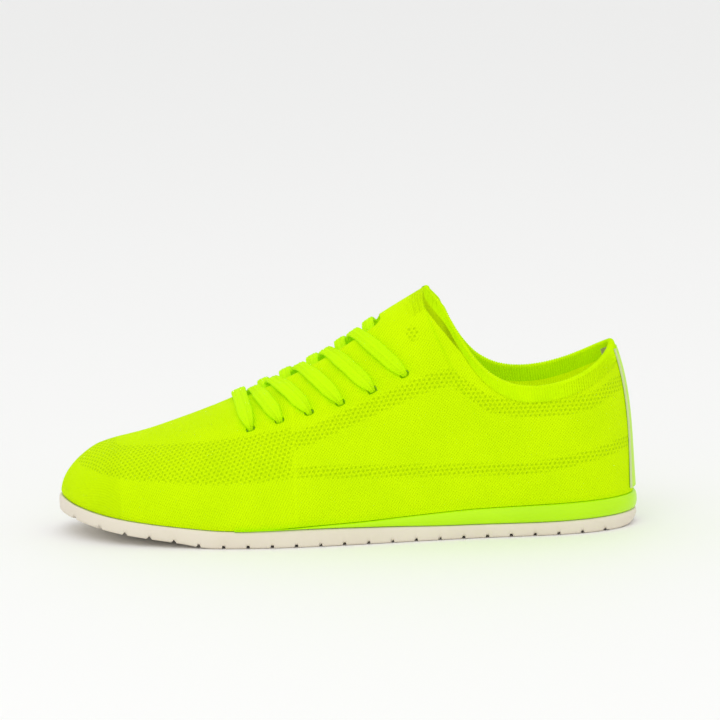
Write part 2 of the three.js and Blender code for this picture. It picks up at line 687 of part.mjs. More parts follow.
function strap(fromStation, toStation, toLateral, steps) {
  const sign = toLateral ? 1 : -1;
  const arcFrom = eyeletArc(fromStation);
  const arcTo = eyeletArc(toStation);
  const at = (across, share, height) => ({
    t: fromStation + (toStation - fromStation) * share, across: sign * across, height,
  });
  const path = [];
  const [firstAcross, firstShare] = steps[0];
  for (const k of [0.3, 0.6]) {
    path.push(at(-(arcFrom - 7) + (arcFrom - 7 + firstAcross) * k, firstShare * k, LACE_UNDER));
  }
  steps.forEach(([across, share, height]) => path.push(at(across, share, height)));
  const [lastAcross, lastShare] = steps.at(-1);
  for (const k of [0.35, 0.7]) {
    path.push(at(lastAcross + (arcTo - 7 - lastAcross) * k, lastShare + (0.99 - lastShare) * k, LACE_OVER));
  }
  return path;
}

const dive = (station, lateral) =>
  DIVE.map(([inside, height]) => ({
    t: station, across: (lateral ? 1 : -1) * (eyeletArc(station) - inside), height,
  }));

function lacePath() {
  const arm = (startLateral) => {
    const path = [];
    for (let k = 0; k + 1 < EYELETS.length; k++) {
      const fromLateral = startLateral === (k % 2 === 0);
      const toLateral = !fromLateral;
      const first = k === 0;
      const steps = toLateral ? (first ? FIRST_TOP : TOP_STRAP) : first ? FIRST_LOW : LOW_STRAP;
      path.push(...strap(EYELETS[k], EYELETS[k + 1], toLateral, steps));
      path.push(...dive(EYELETS[k + 1], toLateral));
    }
    const sign = Math.sign(path.at(-1).across);
    [[27, 12.86], [22, 12.74], [17.5, 12.62]].forEach(([across, t]) =>
      path.push({ t, across: sign * across, height: LACE_UNDER + 0.1 }),
    );
    return path;
  };
  const front = EYELETS[0];
  const bar = evenly(-(eyeletArc(front) - 12), eyeletArc(front) - 12, 6)
    .map((across) => ({ t: front, across, height: LACE_OVER + 0.05 }));
  const lateralArm = [...dive(front, true), ...arm(true)];
  const medialArm = [...dive(front, false), ...arm(false)];
  return [...medialArm.reverse(), ...bar, ...lateralArm];
}

function laceRings(path, halfWidth, halfThick, sides) {
  const points = path.map(({ t, across, height }) => onInstep(t, across, height));
  return points.map((p, i) => {
    const a = points[Math.max(i - 1, 0)];
    const b = points[Math.min(i + 1, points.length - 1)];
    const along = b.clone().sub(a).normalize();
    const { t, across } = path[i];
    const wide = onInstep(t - 0.05, across, 0).sub(onInstep(t + 0.05, across, 0));
    wide.addScaledVector(along, -wide.dot(along)).normalize();
    const thick = along.clone().cross(wide);
    return evenly(0, 1, sides).slice(0, sides).map((k) => {
      const angle = 2 * Math.PI * (k + 0.5 / sides);
      return p.clone().addScaledVector(wide, halfWidth * Math.cos(angle))
        .addScaledVector(thick, halfThick * Math.sin(angle));
    });
  });
}

function shoelace() {
  return toSolid(loft(laceRings(lacePath(), LACE_HALF_WIDTH, LACE_HALF_THICK, 6)));
}

function aglet(lateral) {
  const sign = lateral ? 1 : -1;
  const path = evenly(0, 1, 3).map((k) => ({
    t: 12.6 - 0.34 * k, across: sign * (16.6 - 5.6 * k), height: LACE_UNDER + 0.1,
  }));
  return toSolid(loft(laceRings(path, 1.3, 0.9, 8)));
}

// ---------------------------------------------------------------- materials and assembly
const finish = (color, roughness, metalness = 0) => ({ color, roughness, metalness });
const KNIT_LIME = finish(0xc8f000, 0.85);
const LACE_LIME = finish(0xbcf800, 0.8);
const FOAM_LIME = finish(0xb8f000, 0.35);
const RUBBER = finish(0xe1d8c8, 0.7);
const FOAM_PALE = finish(0xe8e6dc, 0.9);
const BOARD = finish(0xd8d4c4, 0.95);
const LINING = finish(0xb4d800, 0.9);
const PIPING = finish(0xbfd790, 0.4);
const PATCH = finish(0x968c6e, 0.85);
const STIFF = finish(0xdad8cc, 0.6);
const CLEAR_TIP = finish(0xd8f070, 0.3);
const CLOTH = finish(0xaacc00, 0.9);

const group = new THREE.Group();
group.name = "running_shoe";

function add(name, solid, look) {
  const mesh = new THREE.Mesh(fromSolid(solid), new THREE.MeshStandardMaterial(look));
  mesh.name = name;
  group.add(mesh);
}

const rear = (solid) => solid.intersect(behindFlex);
const front = (solid) => solid.intersect(beforeFlexLow);

const wholeOutsole = outsole();
const wholeMidsole = midsole();
const wholeBoard = layer(BOARD_INSET, boardLow, BOARD_THICK);
const wholeFoam = layer(SOCKLINER_INSET, foamLow, FOAM_THICK);
const wholeCloth = layer(SOCKLINER_INSET + 0.2, clothLow, CLOTH_THICK);
const wholeEyelets = eyeletCutters();
const punch = (solid) => wholeEyelets.reduce((rest, cutter) => rest.subtract(cutter), solid);
const wholeUpper = punch(upper().subtract(throatCutter()));
const upperFront = wholeUpper.intersect(beforeFlexLow);

add("outsole_rearfoot", rear(wholeOutsole), RUBBER);
add("outsole_forefoot", front(wholeOutsole), RUBBER);
add("midsole_rearfoot", rear(wholeMidsole), FOAM_LIME);
add("midsole_forefoot", front(wholeMidsole), FOAM_PALE);
add("lasting_board_rearfoot", rear(wholeBoard), BOARD);
add("lasting_board_forefoot", front(wholeBoard), BOARD);
add("sockliner_rearfoot", rear(wholeFoam), FOAM_PALE);
add("sockliner_forefoot", front(wholeFoam), FOAM_PALE);
add("sockliner_cloth_rearfoot", rear(wholeCloth), CLOTH);
add("sockliner_cloth_forefoot", front(wholeCloth), CLOTH);
add("upper_quarters", rear(wholeUpper), KNIT_LIME);
add("upper_toe", upperFront.intersect(inFrontOfWedge), KNIT_LIME);
add("upper_flex_zone", flexZone(upperFront), KNIT_LIME);
add("toe_puff", toePuff(), STIFF);
add("heel_counter", heelCounter(), STIFF);
add("collar_lining", collarLining(), LINING);
add("tongue_gusset", gusset().intersect(behindFlex), LINING);
add("eyestay_lateral", punch(eyestay(1)), LACE_LIME);
add("eyestay_medial", punch(eyestay(-1)), LACE_LIME);
add("heel_strip", heelStrip(), FOAM_LIME);
add("heel_piping_lateral", heelPiping(1), PIPING);
add("heel_piping_medial", heelPiping(-1), PIPING);
add("heel_patch", heelPatch(), PATCH);
add("shoelace", shoelace(), LACE_LIME);
add("aglet_lateral", aglet(true), CLEAR_TIP);
add("aglet_medial", aglet(false), CLEAR_TIP);

// The wedge of knit that folds when the toe bends up.
function flexZone(solid) {
  const g = new THREE.BoxGeometry(FAR, 2 * FAR, 2 * FAR).translate(-FAR / 2 - GAP / 2, 0, 0);
  g.rotateY(FLEX_WEDGE).translate(FLEX_X, 0, FLEX_Z);
  return solid.intersect(toSolid(g)).intersect(boxSolid(-FAR, FAR, -FAR, FAR, FLEX_Z, FAR));
}

export default group;
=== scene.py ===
"""Left running shoe with a knitted upper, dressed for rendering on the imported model's frame.

Lengths are millimetres while a shape is worked out, and metres in the scene. Every layer follows one
driving surface, whose lines climb from the sole's edge to the collar's rim or the instep's crest. A place on
it is a side (1 lateral, -1 medial), a station t along the shoe (0 at the heel, PEAK at the collar's front,
POLE and TOE at the toe) and a share v of the climb.
"""

import json
import math

import bpy
import numpy as np
from mathutils import Quaternion, Vector
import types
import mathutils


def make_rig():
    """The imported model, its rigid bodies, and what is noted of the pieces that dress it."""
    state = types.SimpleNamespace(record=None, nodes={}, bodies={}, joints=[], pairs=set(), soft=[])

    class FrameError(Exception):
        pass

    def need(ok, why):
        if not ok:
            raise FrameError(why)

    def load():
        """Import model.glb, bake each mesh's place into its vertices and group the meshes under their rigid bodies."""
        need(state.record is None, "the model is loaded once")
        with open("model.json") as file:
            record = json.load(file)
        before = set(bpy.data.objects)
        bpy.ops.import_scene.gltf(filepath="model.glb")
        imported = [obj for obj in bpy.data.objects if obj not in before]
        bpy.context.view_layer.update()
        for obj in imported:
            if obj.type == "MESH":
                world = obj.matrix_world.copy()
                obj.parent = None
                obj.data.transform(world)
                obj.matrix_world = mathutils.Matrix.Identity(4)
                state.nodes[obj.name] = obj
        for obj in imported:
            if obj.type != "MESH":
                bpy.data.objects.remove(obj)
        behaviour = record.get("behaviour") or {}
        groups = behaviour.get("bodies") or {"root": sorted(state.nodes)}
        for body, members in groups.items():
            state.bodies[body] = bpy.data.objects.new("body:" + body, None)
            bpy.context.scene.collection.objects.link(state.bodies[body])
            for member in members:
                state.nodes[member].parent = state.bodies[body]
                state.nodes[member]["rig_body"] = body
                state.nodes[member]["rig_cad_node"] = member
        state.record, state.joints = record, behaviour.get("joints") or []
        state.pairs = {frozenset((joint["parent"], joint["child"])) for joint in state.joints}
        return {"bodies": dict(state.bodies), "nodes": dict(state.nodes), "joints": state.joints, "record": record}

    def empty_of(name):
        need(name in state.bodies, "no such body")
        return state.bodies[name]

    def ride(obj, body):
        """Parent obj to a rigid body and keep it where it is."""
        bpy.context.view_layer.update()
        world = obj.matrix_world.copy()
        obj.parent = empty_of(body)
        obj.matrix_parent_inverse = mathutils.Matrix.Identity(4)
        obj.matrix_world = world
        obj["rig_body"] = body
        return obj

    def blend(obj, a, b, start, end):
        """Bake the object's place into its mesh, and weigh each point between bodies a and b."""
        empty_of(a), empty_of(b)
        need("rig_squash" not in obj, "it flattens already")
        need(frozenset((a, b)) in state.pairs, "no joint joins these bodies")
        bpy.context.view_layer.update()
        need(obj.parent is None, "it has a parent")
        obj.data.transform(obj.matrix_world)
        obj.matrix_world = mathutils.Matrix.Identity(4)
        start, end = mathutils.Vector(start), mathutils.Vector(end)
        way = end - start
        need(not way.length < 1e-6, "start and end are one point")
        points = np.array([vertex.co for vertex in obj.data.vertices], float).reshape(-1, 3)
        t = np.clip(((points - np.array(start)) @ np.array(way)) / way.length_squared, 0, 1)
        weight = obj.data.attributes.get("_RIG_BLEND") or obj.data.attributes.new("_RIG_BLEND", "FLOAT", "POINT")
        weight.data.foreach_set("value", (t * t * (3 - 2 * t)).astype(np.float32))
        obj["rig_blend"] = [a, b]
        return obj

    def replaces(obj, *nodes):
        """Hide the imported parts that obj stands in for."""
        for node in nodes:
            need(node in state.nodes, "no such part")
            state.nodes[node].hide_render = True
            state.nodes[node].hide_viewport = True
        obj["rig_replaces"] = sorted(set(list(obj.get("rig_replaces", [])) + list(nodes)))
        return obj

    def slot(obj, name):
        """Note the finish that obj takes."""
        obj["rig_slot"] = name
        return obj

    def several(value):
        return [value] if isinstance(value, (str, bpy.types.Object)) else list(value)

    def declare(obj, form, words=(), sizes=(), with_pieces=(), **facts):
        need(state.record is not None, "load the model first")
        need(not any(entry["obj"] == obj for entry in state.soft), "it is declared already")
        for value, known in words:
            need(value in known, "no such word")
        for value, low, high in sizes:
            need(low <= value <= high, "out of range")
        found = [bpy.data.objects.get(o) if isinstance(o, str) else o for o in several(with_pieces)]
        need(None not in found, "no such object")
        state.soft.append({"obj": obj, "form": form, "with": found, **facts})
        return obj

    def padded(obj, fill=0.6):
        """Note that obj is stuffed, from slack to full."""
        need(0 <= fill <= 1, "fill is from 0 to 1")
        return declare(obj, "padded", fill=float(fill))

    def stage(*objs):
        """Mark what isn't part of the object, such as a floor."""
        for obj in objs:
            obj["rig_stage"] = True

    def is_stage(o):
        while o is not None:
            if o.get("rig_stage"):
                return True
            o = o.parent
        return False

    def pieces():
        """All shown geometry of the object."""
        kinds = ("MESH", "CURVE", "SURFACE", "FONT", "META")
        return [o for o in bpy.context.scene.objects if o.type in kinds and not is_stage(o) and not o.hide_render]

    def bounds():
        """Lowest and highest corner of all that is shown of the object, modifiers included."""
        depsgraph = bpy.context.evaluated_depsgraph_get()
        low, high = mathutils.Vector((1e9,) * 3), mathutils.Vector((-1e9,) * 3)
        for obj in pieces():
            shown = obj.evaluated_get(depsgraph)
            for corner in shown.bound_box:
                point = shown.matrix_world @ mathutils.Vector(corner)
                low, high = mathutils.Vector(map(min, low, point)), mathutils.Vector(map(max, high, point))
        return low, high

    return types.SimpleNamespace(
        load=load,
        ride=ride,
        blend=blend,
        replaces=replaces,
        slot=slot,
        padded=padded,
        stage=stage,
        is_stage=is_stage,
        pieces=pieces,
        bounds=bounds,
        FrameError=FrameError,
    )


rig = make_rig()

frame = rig.load()
CAD_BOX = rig.bounds()
MM = 0.001


# ------------------------------------------------------------------ the shoe's driving shape
GAP = 0.3
TIP_Y = -8
OUTLINE = [
    (-145, 0), (-142.5, 11), (-135, 21), (-122, 29.5), (-105, 34.5), (-88, 36.2), (-60, 38), (-30, 42),
    (0, 46.5), (25, 49.4), (50, 50), (75, 47), (100, 39.5), (118, 31), (132, 19), (141, 6), (145, TIP_Y),
    (142.5, -21), (134.5, -32), (120, -41), (100, -47), (75, -49.9), (50, -50), (25, -46.5), (0, -39),
    (-30, -32.5), (-60, -31), (-88, -32.5), (-105, -32), (-122, -28.5), (-135, -20.5), (-142.5, -11),
]
UNDERSIDE = [(-145, 3.4), (-139, 0.6), (-132, 0), (70, 0), (88, 2.3), (121, 6), (145, 10.8)]
SOLE_EDGE = [(-145, 7.5), (-90, 6.7), (-50, 7), (-10, 8.3), (25, 9), (60, 8.5), (88, 10.1), (121, 13.3),
             (138, 16.6), (145, 19.3)]
WEDGE_TOP = [(-145, 16.3), (-100, 15.6), (-60, 14.6), (-25, 12.7), (-5, 11.4), (18, 10.4), (44, 8.9)]
WEDGE_FRONT = 44
FEATHER_INSET = 0.8
KNIT = 2
RIM = [
    (-133.7, 0, 91.6, -145, -0.38, 0, -1, 26),
    (-132.3, 8.5, 89.8, -142, -0.32, 0.12, -1, 25),
    (-128, 17.5, 86.3, -136.5, -0.2, 0.16, -1, 24),
    (-121, 25, 82, -130, -0.12, 0.18, -1, 22),
    (-112, 30, 78, -122.5, -0.1, 0.15, -1, 21),
    (-100, 32.5, 74.8, -115, -0.07, 0.12, -1, 22),
    (-88, 33.2, 74, -108, -0.1, 0.13, -1, 24),
    (-77, 32.4, 76, -101.5, -0.12, 0.16, -1, 26),
    (-67, 30.4, 81.5, -96, -0.13, 0.21, -1, 28),
    (-59, 27.3, 90, -91, -0.13, 0.3, -1, 29),
    (-52, 22.5, 101.3, -87, -0.1, 0.43, -0.95, 28),
    (-45.5, 14.8, 113.3, -83, 0, 0.7, -0.84, 25),
]
CREST = [
    (-39, 0, 121.5, -79), (-15, 0, 107.3, -55), (0, 0, 97.2, -36), (14, -1, 88.2, -17),
    (27.5, -2, 80.8, 3), (41, -3, 74.2, 20), (54, -4, 68.3, 38), (68, -5, 62.2, 58),
    (84, -6, 56.2, 79), (100, -6.6, 51, 98), (115, -7, 47.6, 115),
]
PEAK = len(RIM)
POLE = PEAK + len(CREST) - 1
TOE = POLE + 4
POLE_SLOPE = -0.24
PEAK_FORWARD, PEAK_FALL, PEAK_HANDLE = 0.45, 0.6, 22.4
ROUND = 0.5523
SIDE_BULGE, SIDE_RISE = 1.6, 0.36

EYELETS = [18, 17, 16, 15, 14, 13]
EYELET_ARC, EYELET_ARC_GROWTH = 35, 1.1
EYELET_LONG, EYELET_IN, EYELET_OUT, EYELET_ROUND = 2.5, 1.7, 1.6, 1.5
SLOT_FRONT, SLOT_BACK, SLOT_HALF, SLOT_ROUND = 18.28, 12.95, 8.6, 5
LACE_OVER, LACE_UNDER = 1.55, -4.5
FLEX_FROM, FLEX_TO = (0.040, 0, 0.019), (0.090, 0, 0.019)


# ------------------------------------------------------------------ curves
def smoothstep(x, a, b):
    f = np.clip((np.asarray(x, float) - a) / (b - a), 0, 1)
    return f * f * (3 - 2 * f)


def unit(vectors):
    """Vectors brought to length 1; one with no length stays as it is."""
    return vectors / np.maximum(np.linalg.norm(vectors, axis=-1), 1e-9)[..., None]


def run_along(points):
    """Distance walked along a row of points."""
    return np.concatenate([[0], np.cumsum(np.linalg.norm(np.diff(points, axis=0), axis=1))])


def sample(at, run, rows):
    """Rows that are known at the distances run, read at other distances."""
    return np.stack([np.interp(at, run, rows[:, k]) for k in range(rows.shape[1])], axis=-1)


def hermite(a, b, slope_a, slope_b, f):
    f2, f3 = f * f, f * f * f
    return (a * (2 * f3 - 3 * f2 + 1) + b * (3 * f2 - 2 * f3)
            + slope_a * (f3 - 2 * f2 + f) + slope_b * (f3 - f2))


def catmull(points, steps):
    """Centripetal Catmull-Rom curve; the first and last points only steer it."""
    fine = []
    for i in range(1, len(points) - 2):
        a, b, c, d = points[i - 1:i + 3]
        k1, k2, k3 = (max(np.linalg.norm((q - r)[:3]), 1e-6) ** 0.5 for q, r in ((b, a), (c, b), (d, c)))
        slope_b = ((b - a) / k1 - (c - a) / (k1 + k2) + (c - b) / k2) * k2
        slope_c = ((c - b) / k2 - (d - b) / (k2 + k3) + (d - c) / k3) * k2
        fine += [hermite(b, c, slope_b, slope_c, f) for f in np.linspace(0, 1, steps, endpoint=False)]
    return np.array(fine)


def through(points):
    """Smooth curve y(x) through points of rising x, with no overshoot, for numbers or arrays."""
    xs, ys = np.array(points, float).T
    slope = np.diff(ys) / np.diff(xs)
    tangent = np.empty(len(xs))
    tangent[0], tangent[-1] = slope[0], slope[-1]
    for i in range(1, len(xs) - 1):
        a, b = slope[i - 1], slope[i]
        tangent[i] = 0 if a * b <= 0 else 2 * a * b / (a + b)

    def value(x):
        x = np.asarray(x, float)
        i = np.clip(np.searchsorted(xs, x, side="right") - 1, 0, len(xs) - 2)
        w = xs[i + 1] - xs[i]
        f = np.clip((x - xs[i]) / w, 0, 1)
        g = 1 - f
        return (ys[i] * (1 + 2 * f) * g * g + ys[i + 1] * f * f * (3 - 2 * f)
                + w * (tangent[i] * f * g * g - tangent[i + 1] * f * f * g))

    return value


underside_z = through(UNDERSIDE)
sole_edge_z = through(SOLE_EDGE)
wedge_top_z = through(WEDGE_TOP)


def feather_z(x):
    """Height of the line where the upper meets the sole."""
    return np.where(np.asarray(x) < WEDGE_FRONT, np.maximum(wedge_top_z(x), sole_edge_z(x)), sole_edge_z(x))


OUTLINE_STEPS = 900


def outline_sides():
    """The sole's outline as two rows of points, each from the heel's middle to the toe tip."""
    corners = np.array(OUTLINE, float)
    loop = catmull(np.vstack([corners[-1:], corners, corners[:2]]), 40)
    loop = np.vstack([loop, loop[:1]])
    run = run_along(loop)
    points = sample(np.linspace(0, run[-1], OUTLINE_STEPS + 1)[:-1], run, loop)
    toe = int(points[:, 0].argmax())
    return {1: points[:toe + 1], -1: np.vstack([points[:1], points[toe:][::-1]])}


SIDES = outline_sides()


def inset_side(side, inset):
    """A side of the outline moved inwards, the run along it and its normals."""
    base = SIDES[side]
    along = unit(np.gradient(base, axis=0))
    along[0], along[-1] = (0, side), (0, -side)
    out = np.stack([-along[:, 1], along[:, 0]], axis=1) * side
    points = base - out * inset
    return points, run_along(points), out


FEATHER = {side: inset_side(side, FEATHER_INSET) for side in (1, -1)}


def run_at_x(side, x):
    points, run, _ = FEATHER[side]
    found = np.flatnonzero(points[:, 0] >= x)
    return run[found[0]] if len(found) else run[-1]


def feather_point(side, distance):
    """Foot of the walls at a distance along a side, and the level direction that faces out there."""
    points, run, out = FEATHER[side]
    xy, normal = sample(distance, run, points), unit(sample(distance, run, out))
    foot = np.concatenate([xy, feather_z(xy[..., :1]) + GAP], axis=-1)
    return foot, np.concatenate([normal, np.zeros(xy.shape[:-1] + (1,))], axis=-1)


KEYS = ("x", "y", "half", "z", "run", "dx", "dy", "dz", "handle")
ODD_AT_HEEL = {"half", "dy", "run"}
MIRROR_AT_PEAK = {"x": 1, "z": 1, "half": -1}


def station_table(side):
    rows = [(x, 0, half, z, run_at_x(side, foot), dx, dy, dz, handle)
            for x, half, z, foot, dx, dy, dz, handle in RIM]
    rows += [(x, y, 0, z, run_at_x(side, foot), PEAK_FORWARD, 1, -PEAK_FALL * PEAK_FORWARD, PEAK_HANDLE)
             for x, y, z, foot in CREST]
    table = {key: [float(r[k]) for r in rows] for k, key in enumerate(KEYS)}
    total = FEATHER[side][1][-1]
    start = table["run"][-1]
    for k in range(1, TOE - POLE + 1):
        for key in KEYS:
            table[key].append(table[key][POLE])
        table["run"][-1] = start + (total - start) * k / (TOE - POLE)
    table["run"][0] = 0.0
    return {key: np.array(v) for key, v in table.items()}


TABLES = {side: station_table(side) for side in (1, -1)}


def column(side, key, t):
    """A column of the station table as a smooth curve over t."""
    rows = TABLES[side][key]
    t = np.asarray(t, float)
    last = len(rows) - 1
    i = np.minimum(np.floor(t).astype(int), last - 1)
    before = np.where(i > 0, rows[np.maximum(i - 1, 0)], (-1 if key in ODD_AT_HEEL else 1) * rows[1])
    after = np.where(i + 2 <= last, rows[np.minimum(i + 2, last)], 2 * rows[last] - rows[last - 1])
    if key in MIRROR_AT_PEAK:
        after = np.where(i == PEAK - 1, MIRROR_AT_PEAK[key] * rows[i], after)
        before = np.where(i == PEAK, 2 * rows[PEAK] - rows[PEAK + 1], before)
    a, b = rows[i], rows[i + 1]
    return hermite(a, b, (b - before) / 2, (after - a) / 2, t - i)


def profile(side, t):
    """Control points, (n, 4, 3), of the lines that climb from the feather line to the rim or crest."""
    t = np.atleast_1d(np.asarray(t, float))
    foot, out = feather_point(side, column(side, "run", t))
    half = np.where(t >= PEAK, 0, np.maximum(column(side, "half", t), 0))
    top = np.stack([column(side, "x", t), column(side, "y", t) + side * half, column(side, "z", t)], axis=-1)
    fan = t >= POLE
    top[fan] = CREST[-1][:3]
    front = np.clip((t - PEAK + 3) / 3, 0, 1) ** 2
    rise = SIDE_RISE + (ROUND - SIDE_RISE) * front
    lean = np.where(fan, 0, 1)
    climb = np.stack([lean * (top[:, 0] - foot[:, 0]), 0 * t, top[:, 2] - foot[:, 2]], axis=-1)
    low = foot + climb * rise[:, None] + out * SIDE_BULGE
    across = np.abs(foot[:, 1] - top[:, 1]) * ROUND
    aim = np.stack([column(side, "dx", t), side * column(side, "dy", t), column(side, "dz", t)], axis=-1)
    behind = top + unit(aim) * column(side, "handle", t)[:, None]
    forward = across * PEAK_FORWARD * (1 - smoothstep(t, PEAK, PEAK + 1))
    ahead = top + np.stack([forward, side * across, -PEAK_FALL * forward], axis=-1)
    dx = foot[:, 0] - top[:, 0]
    fanned = top + ROUND * np.stack([dx, foot[:, 1] - top[:, 1], POLE_SLOPE * dx], axis=-1)
    high = np.where(fan[:, None], fanned, np.where((t >= PEAK)[:, None], ahead, behind))
    return np.stack([foot, low, high, top], axis=1)


def bezier(c, v):
    """Cubic with control points c, (..., 4, 3), at v."""
    v = np.asarray(v, float)[..., None]
    u = 1 - v
    return (c[..., 0, :] * u ** 3 + 3 * c[..., 1, :] * u * u * v
            + 3 * c[..., 2, :] * u * v * v + c[..., 3, :] * v ** 3)


def outer(side, t, v):
    """Point of the driving surface."""
    t, v = np.broadcast_arrays(np.asarray(t, float), np.asarray(v, float))
    return bezier(profile(side, t.ravel()), v.ravel()).reshape(t.shape + (3,))


def crest_normal(t):
    """Upward normal on the crest, which both sides share."""
    t = np.minimum(np.asarray(t, float), POLE)
    d = outer(1, np.minimum(t + 0.05, POLE), 1.0) - outer(1, np.maximum(t - 0.05, PEAK), 1.0)
    pole = np.array([-POLE_SLOPE, 0, 1]) / math.hypot(POLE_SLOPE, 1)
    return np.where((t >= POLE)[..., None], pole, unit(-np.cross(np.array([0.0, 1.0, 0.0]), d)))


def normal_at(side, t, v, step=0.02):
    """Outward normal of the driving surface, from small steps both ways."""
    t, v = np.broadcast_arrays(np.asarray(t, float), np.asarray(v, float))
    a = outer(side, np.minimum(t + step, TOE), v) - outer(side, np.maximum(t - step, 0), v)
    a[(t <= 0) | (t >= TOE)] *= (0, 1, 0)
    b = outer(side, t, np.minimum(v + step, 1)) - outer(side, t, np.maximum(v - step, 0))
    crest = (t >= PEAK) & (v > 0.995)
    return np.where(crest[..., None], crest_normal(t), unit(np.cross(a, b) * -side))


def off(side, t, v, height):
    """Point at a height above the driving surface."""
    return outer(side, t, v) + normal_at(side, t, v) * np.asarray(height, float)[..., None]


ARC_STEPS = 120


def arcs(side, t):
    """Distance from the crest or rim down each line, at even steps of the profile parameter from 1 to 0."""
    v = np.linspace(1, 0, ARC_STEPS + 1)
    p = bezier(profile(side, t)[:, None], v[None, :])
    d = np.linalg.norm(np.diff(p, axis=1), axis=-1)
    return v, np.concatenate([np.zeros((len(p), 1)), np.cumsum(d, axis=1)], axis=1)


def params_at(distances, rows, steps):
    """Profile parameter at a distance down each line from the rim or crest."""
    return np.array([np.interp(s, row, steps) for s, row in zip(distances, rows)])


def on_instep(t, across, height):
    """Points on the instep: station, signed distance across from the crest, height above the surface."""
    t, across, height = (np.atleast_1d(np.asarray(q, float)) for q in np.broadcast_arrays(t, across, height))
    result = np.empty(t.shape + (3,))
    for side in (1, -1):
        pick = (across >= 0) == (side == 1)
        v, arc = arcs(side, t[pick])
        result[pick] = off(side, t[pick], params_at(np.abs(across[pick]), arc, v), height[pick])
    return result


def eyelet_arc(t):
    """Distance of an eyelet from the crest; the rows spread towards the ankle."""
    return EYELET_ARC + (EYELETS[0] - t) * EYELET_ARC_GROWTH


# ------------------------------------------------------------------ meshes
WELD = 0.03


def make_object(name, points, faces):
    mesh = bpy.data.meshes.new(name)
    mesh.from_pydata((np.asarray(points) * MM).tolist(), [], faces)
    mesh.validate()
    mesh.update()
    mesh.shade_smooth()
    obj = bpy.data.objects.new(name, mesh)
    bpy.context.scene.collection.objects.link(obj)
    return obj


def grid_faces(rows, cols):
    corner = (np.arange(rows - 1)[:, None] * cols + np.arange(cols - 1)).ravel()
    return np.stack([corner, corner + cols, corner + cols + 1, corner + 1], axis=1)


def grid_pairs(along, over):
    """Every pair of two rows of numbers, in the order of a grid's points."""
    return np.stack(np.meshgrid(along, over, indexing="ij"), axis=-1).reshape(-1, 2)


def set_uv(obj, uv, name="metric"):
    """uv gives a pair in millimetres for each vertex."""
    layer = obj.data.uv_layers.new(name=name)
    loops = np.empty(len(obj.data.loops), np.int64)
    obj.data.loops.foreach_get("vertex_index", loops)
    layer.data.foreach_set("uv", np.asarray(uv, np.float32)[loops].ravel())


def set_mask(obj, name, values):
    attribute = obj.data.attributes.new(name, "FLOAT", "POINT")
    attribute.data.foreach_set("value", np.asarray(values, np.float32))


def orient(obj):
    """Faces of a closed mesh turned to face out."""
    mesh = obj.data
    mesh.calc_loop_triangles()
    co = np.array([v.co for v in mesh.vertices])
    tri = np.array([t.vertices for t in mesh.loop_triangles])
    volume = np.einsum("ij,ij->", co[tri[:, 0]], np.cross(co[tri[:, 1]], co[tri[:, 2]]))
    if volume < 0:
        mesh.flip_normals()
    return obj


def apply_modifiers(obj):
    evaluated = obj.evaluated_get(bpy.context.evaluated_depsgraph_get())
    mesh = bpy.data.meshes.new_from_object(evaluated)
    obj.modifiers.clear()
    obj.data = mesh
    return obj


def thicken(obj, thickness, inward=True):
    modifier = obj.modifiers.new("thick", "SOLIDIFY")
    modifier.thickness = thickness * MM
    modifier.offset = -1 if inward else 1
    modifier.use_even_offset = False
    return apply_modifiers(obj)


def keep_sharp(obj, degrees=40):
    obj.data.set_sharp_from_angle(angle=math.radians(degrees))
    return obj

def weld(obj, distance=WELD):
    modifier = obj.modifiers.new("weld", "WELD")
    modifier.merge_threshold = distance * MM
    return apply_modifiers(obj)


def two_halves(name, halves, as_laid):
    """One mesh from a grid for each side: halves holds side, grid, distances along it and over it."""
    points, faces, uv, base = [], [], [], 0
    for side, grid, along, over in halves:
        block = grid_faces(*grid.shape[:2]) + base
        faces.append(block if side == as_laid else block[:, ::-1])
        points.append(grid.reshape(-1, 3))
        uv.append(grid_pairs(side * along, over))
        base += len(points[-1])
    obj = make_object(name, np.concatenate(points), np.concatenate(faces).tolist())
    set_uv(obj, np.concatenate(uv))
    return weld(obj)


# ------------------------------------------------------------------ flat position in the knit
# Distance walked along the shoe at each station, midway between the crest's spacing and the sole's.
WALK_T, WALK_V = np.linspace(0, TOE, 521), 0.55


def station_walk(side):
    p = outer(side, WALK_T, WALK_V)
    step = np.linalg.norm(np.diff(p, axis=0), axis=1)
    step[WALK_T[1:] > POLE] = 0
    return np.concatenate([[0], np.cumsum(step)])


WALK = {side: station_walk(side) for side in (1, -1)}


def cloth_uv(side, t, arc):
    """Flat position in the knit, in millimetres: across from the crest, and along from the heel."""
    t = np.asarray(t, float)
    walked = np.interp(np.minimum(t, POLE), WALK_T, WALK[side])
    turn = np.clip((t - POLE) / (TOE - POLE), 0, 1) * math.pi / 2
    return np.stack([side * arc * np.cos(turn), walked + np.where(t > POLE, arc * np.sin(turn), 0)], axis=-1)


def wall_table(side, ts):
    """Distance along the sole and height up the wall, over arcs' parameters, of each line of the wall."""
    steps = np.linspace(1, 0, ARC_STEPS + 1)
    p = bezier(profile(side, ts)[:, None], steps[None, :])[:, ::-1]
    _, out = feather_point(side, column(side, "run", ts))
    along = np.stack([out[:, 1] * side, -out[:, 0] * side, 0 * ts], axis=-1)
    d = np.diff(p, axis=1)
    slide = (d * along[:, None]).sum(axis=-1)
    climb = np.sqrt(np.maximum((d * d).sum(axis=-1) - slide ** 2, 0))
    zero = np.zeros((len(ts), 1))
    run = column(side, "run", ts)[:, None] + np.concatenate([zero, np.cumsum(slide, axis=1)], axis=1)
    return run, np.concatenate([zero, np.cumsum(climb, axis=1)], axis=1)


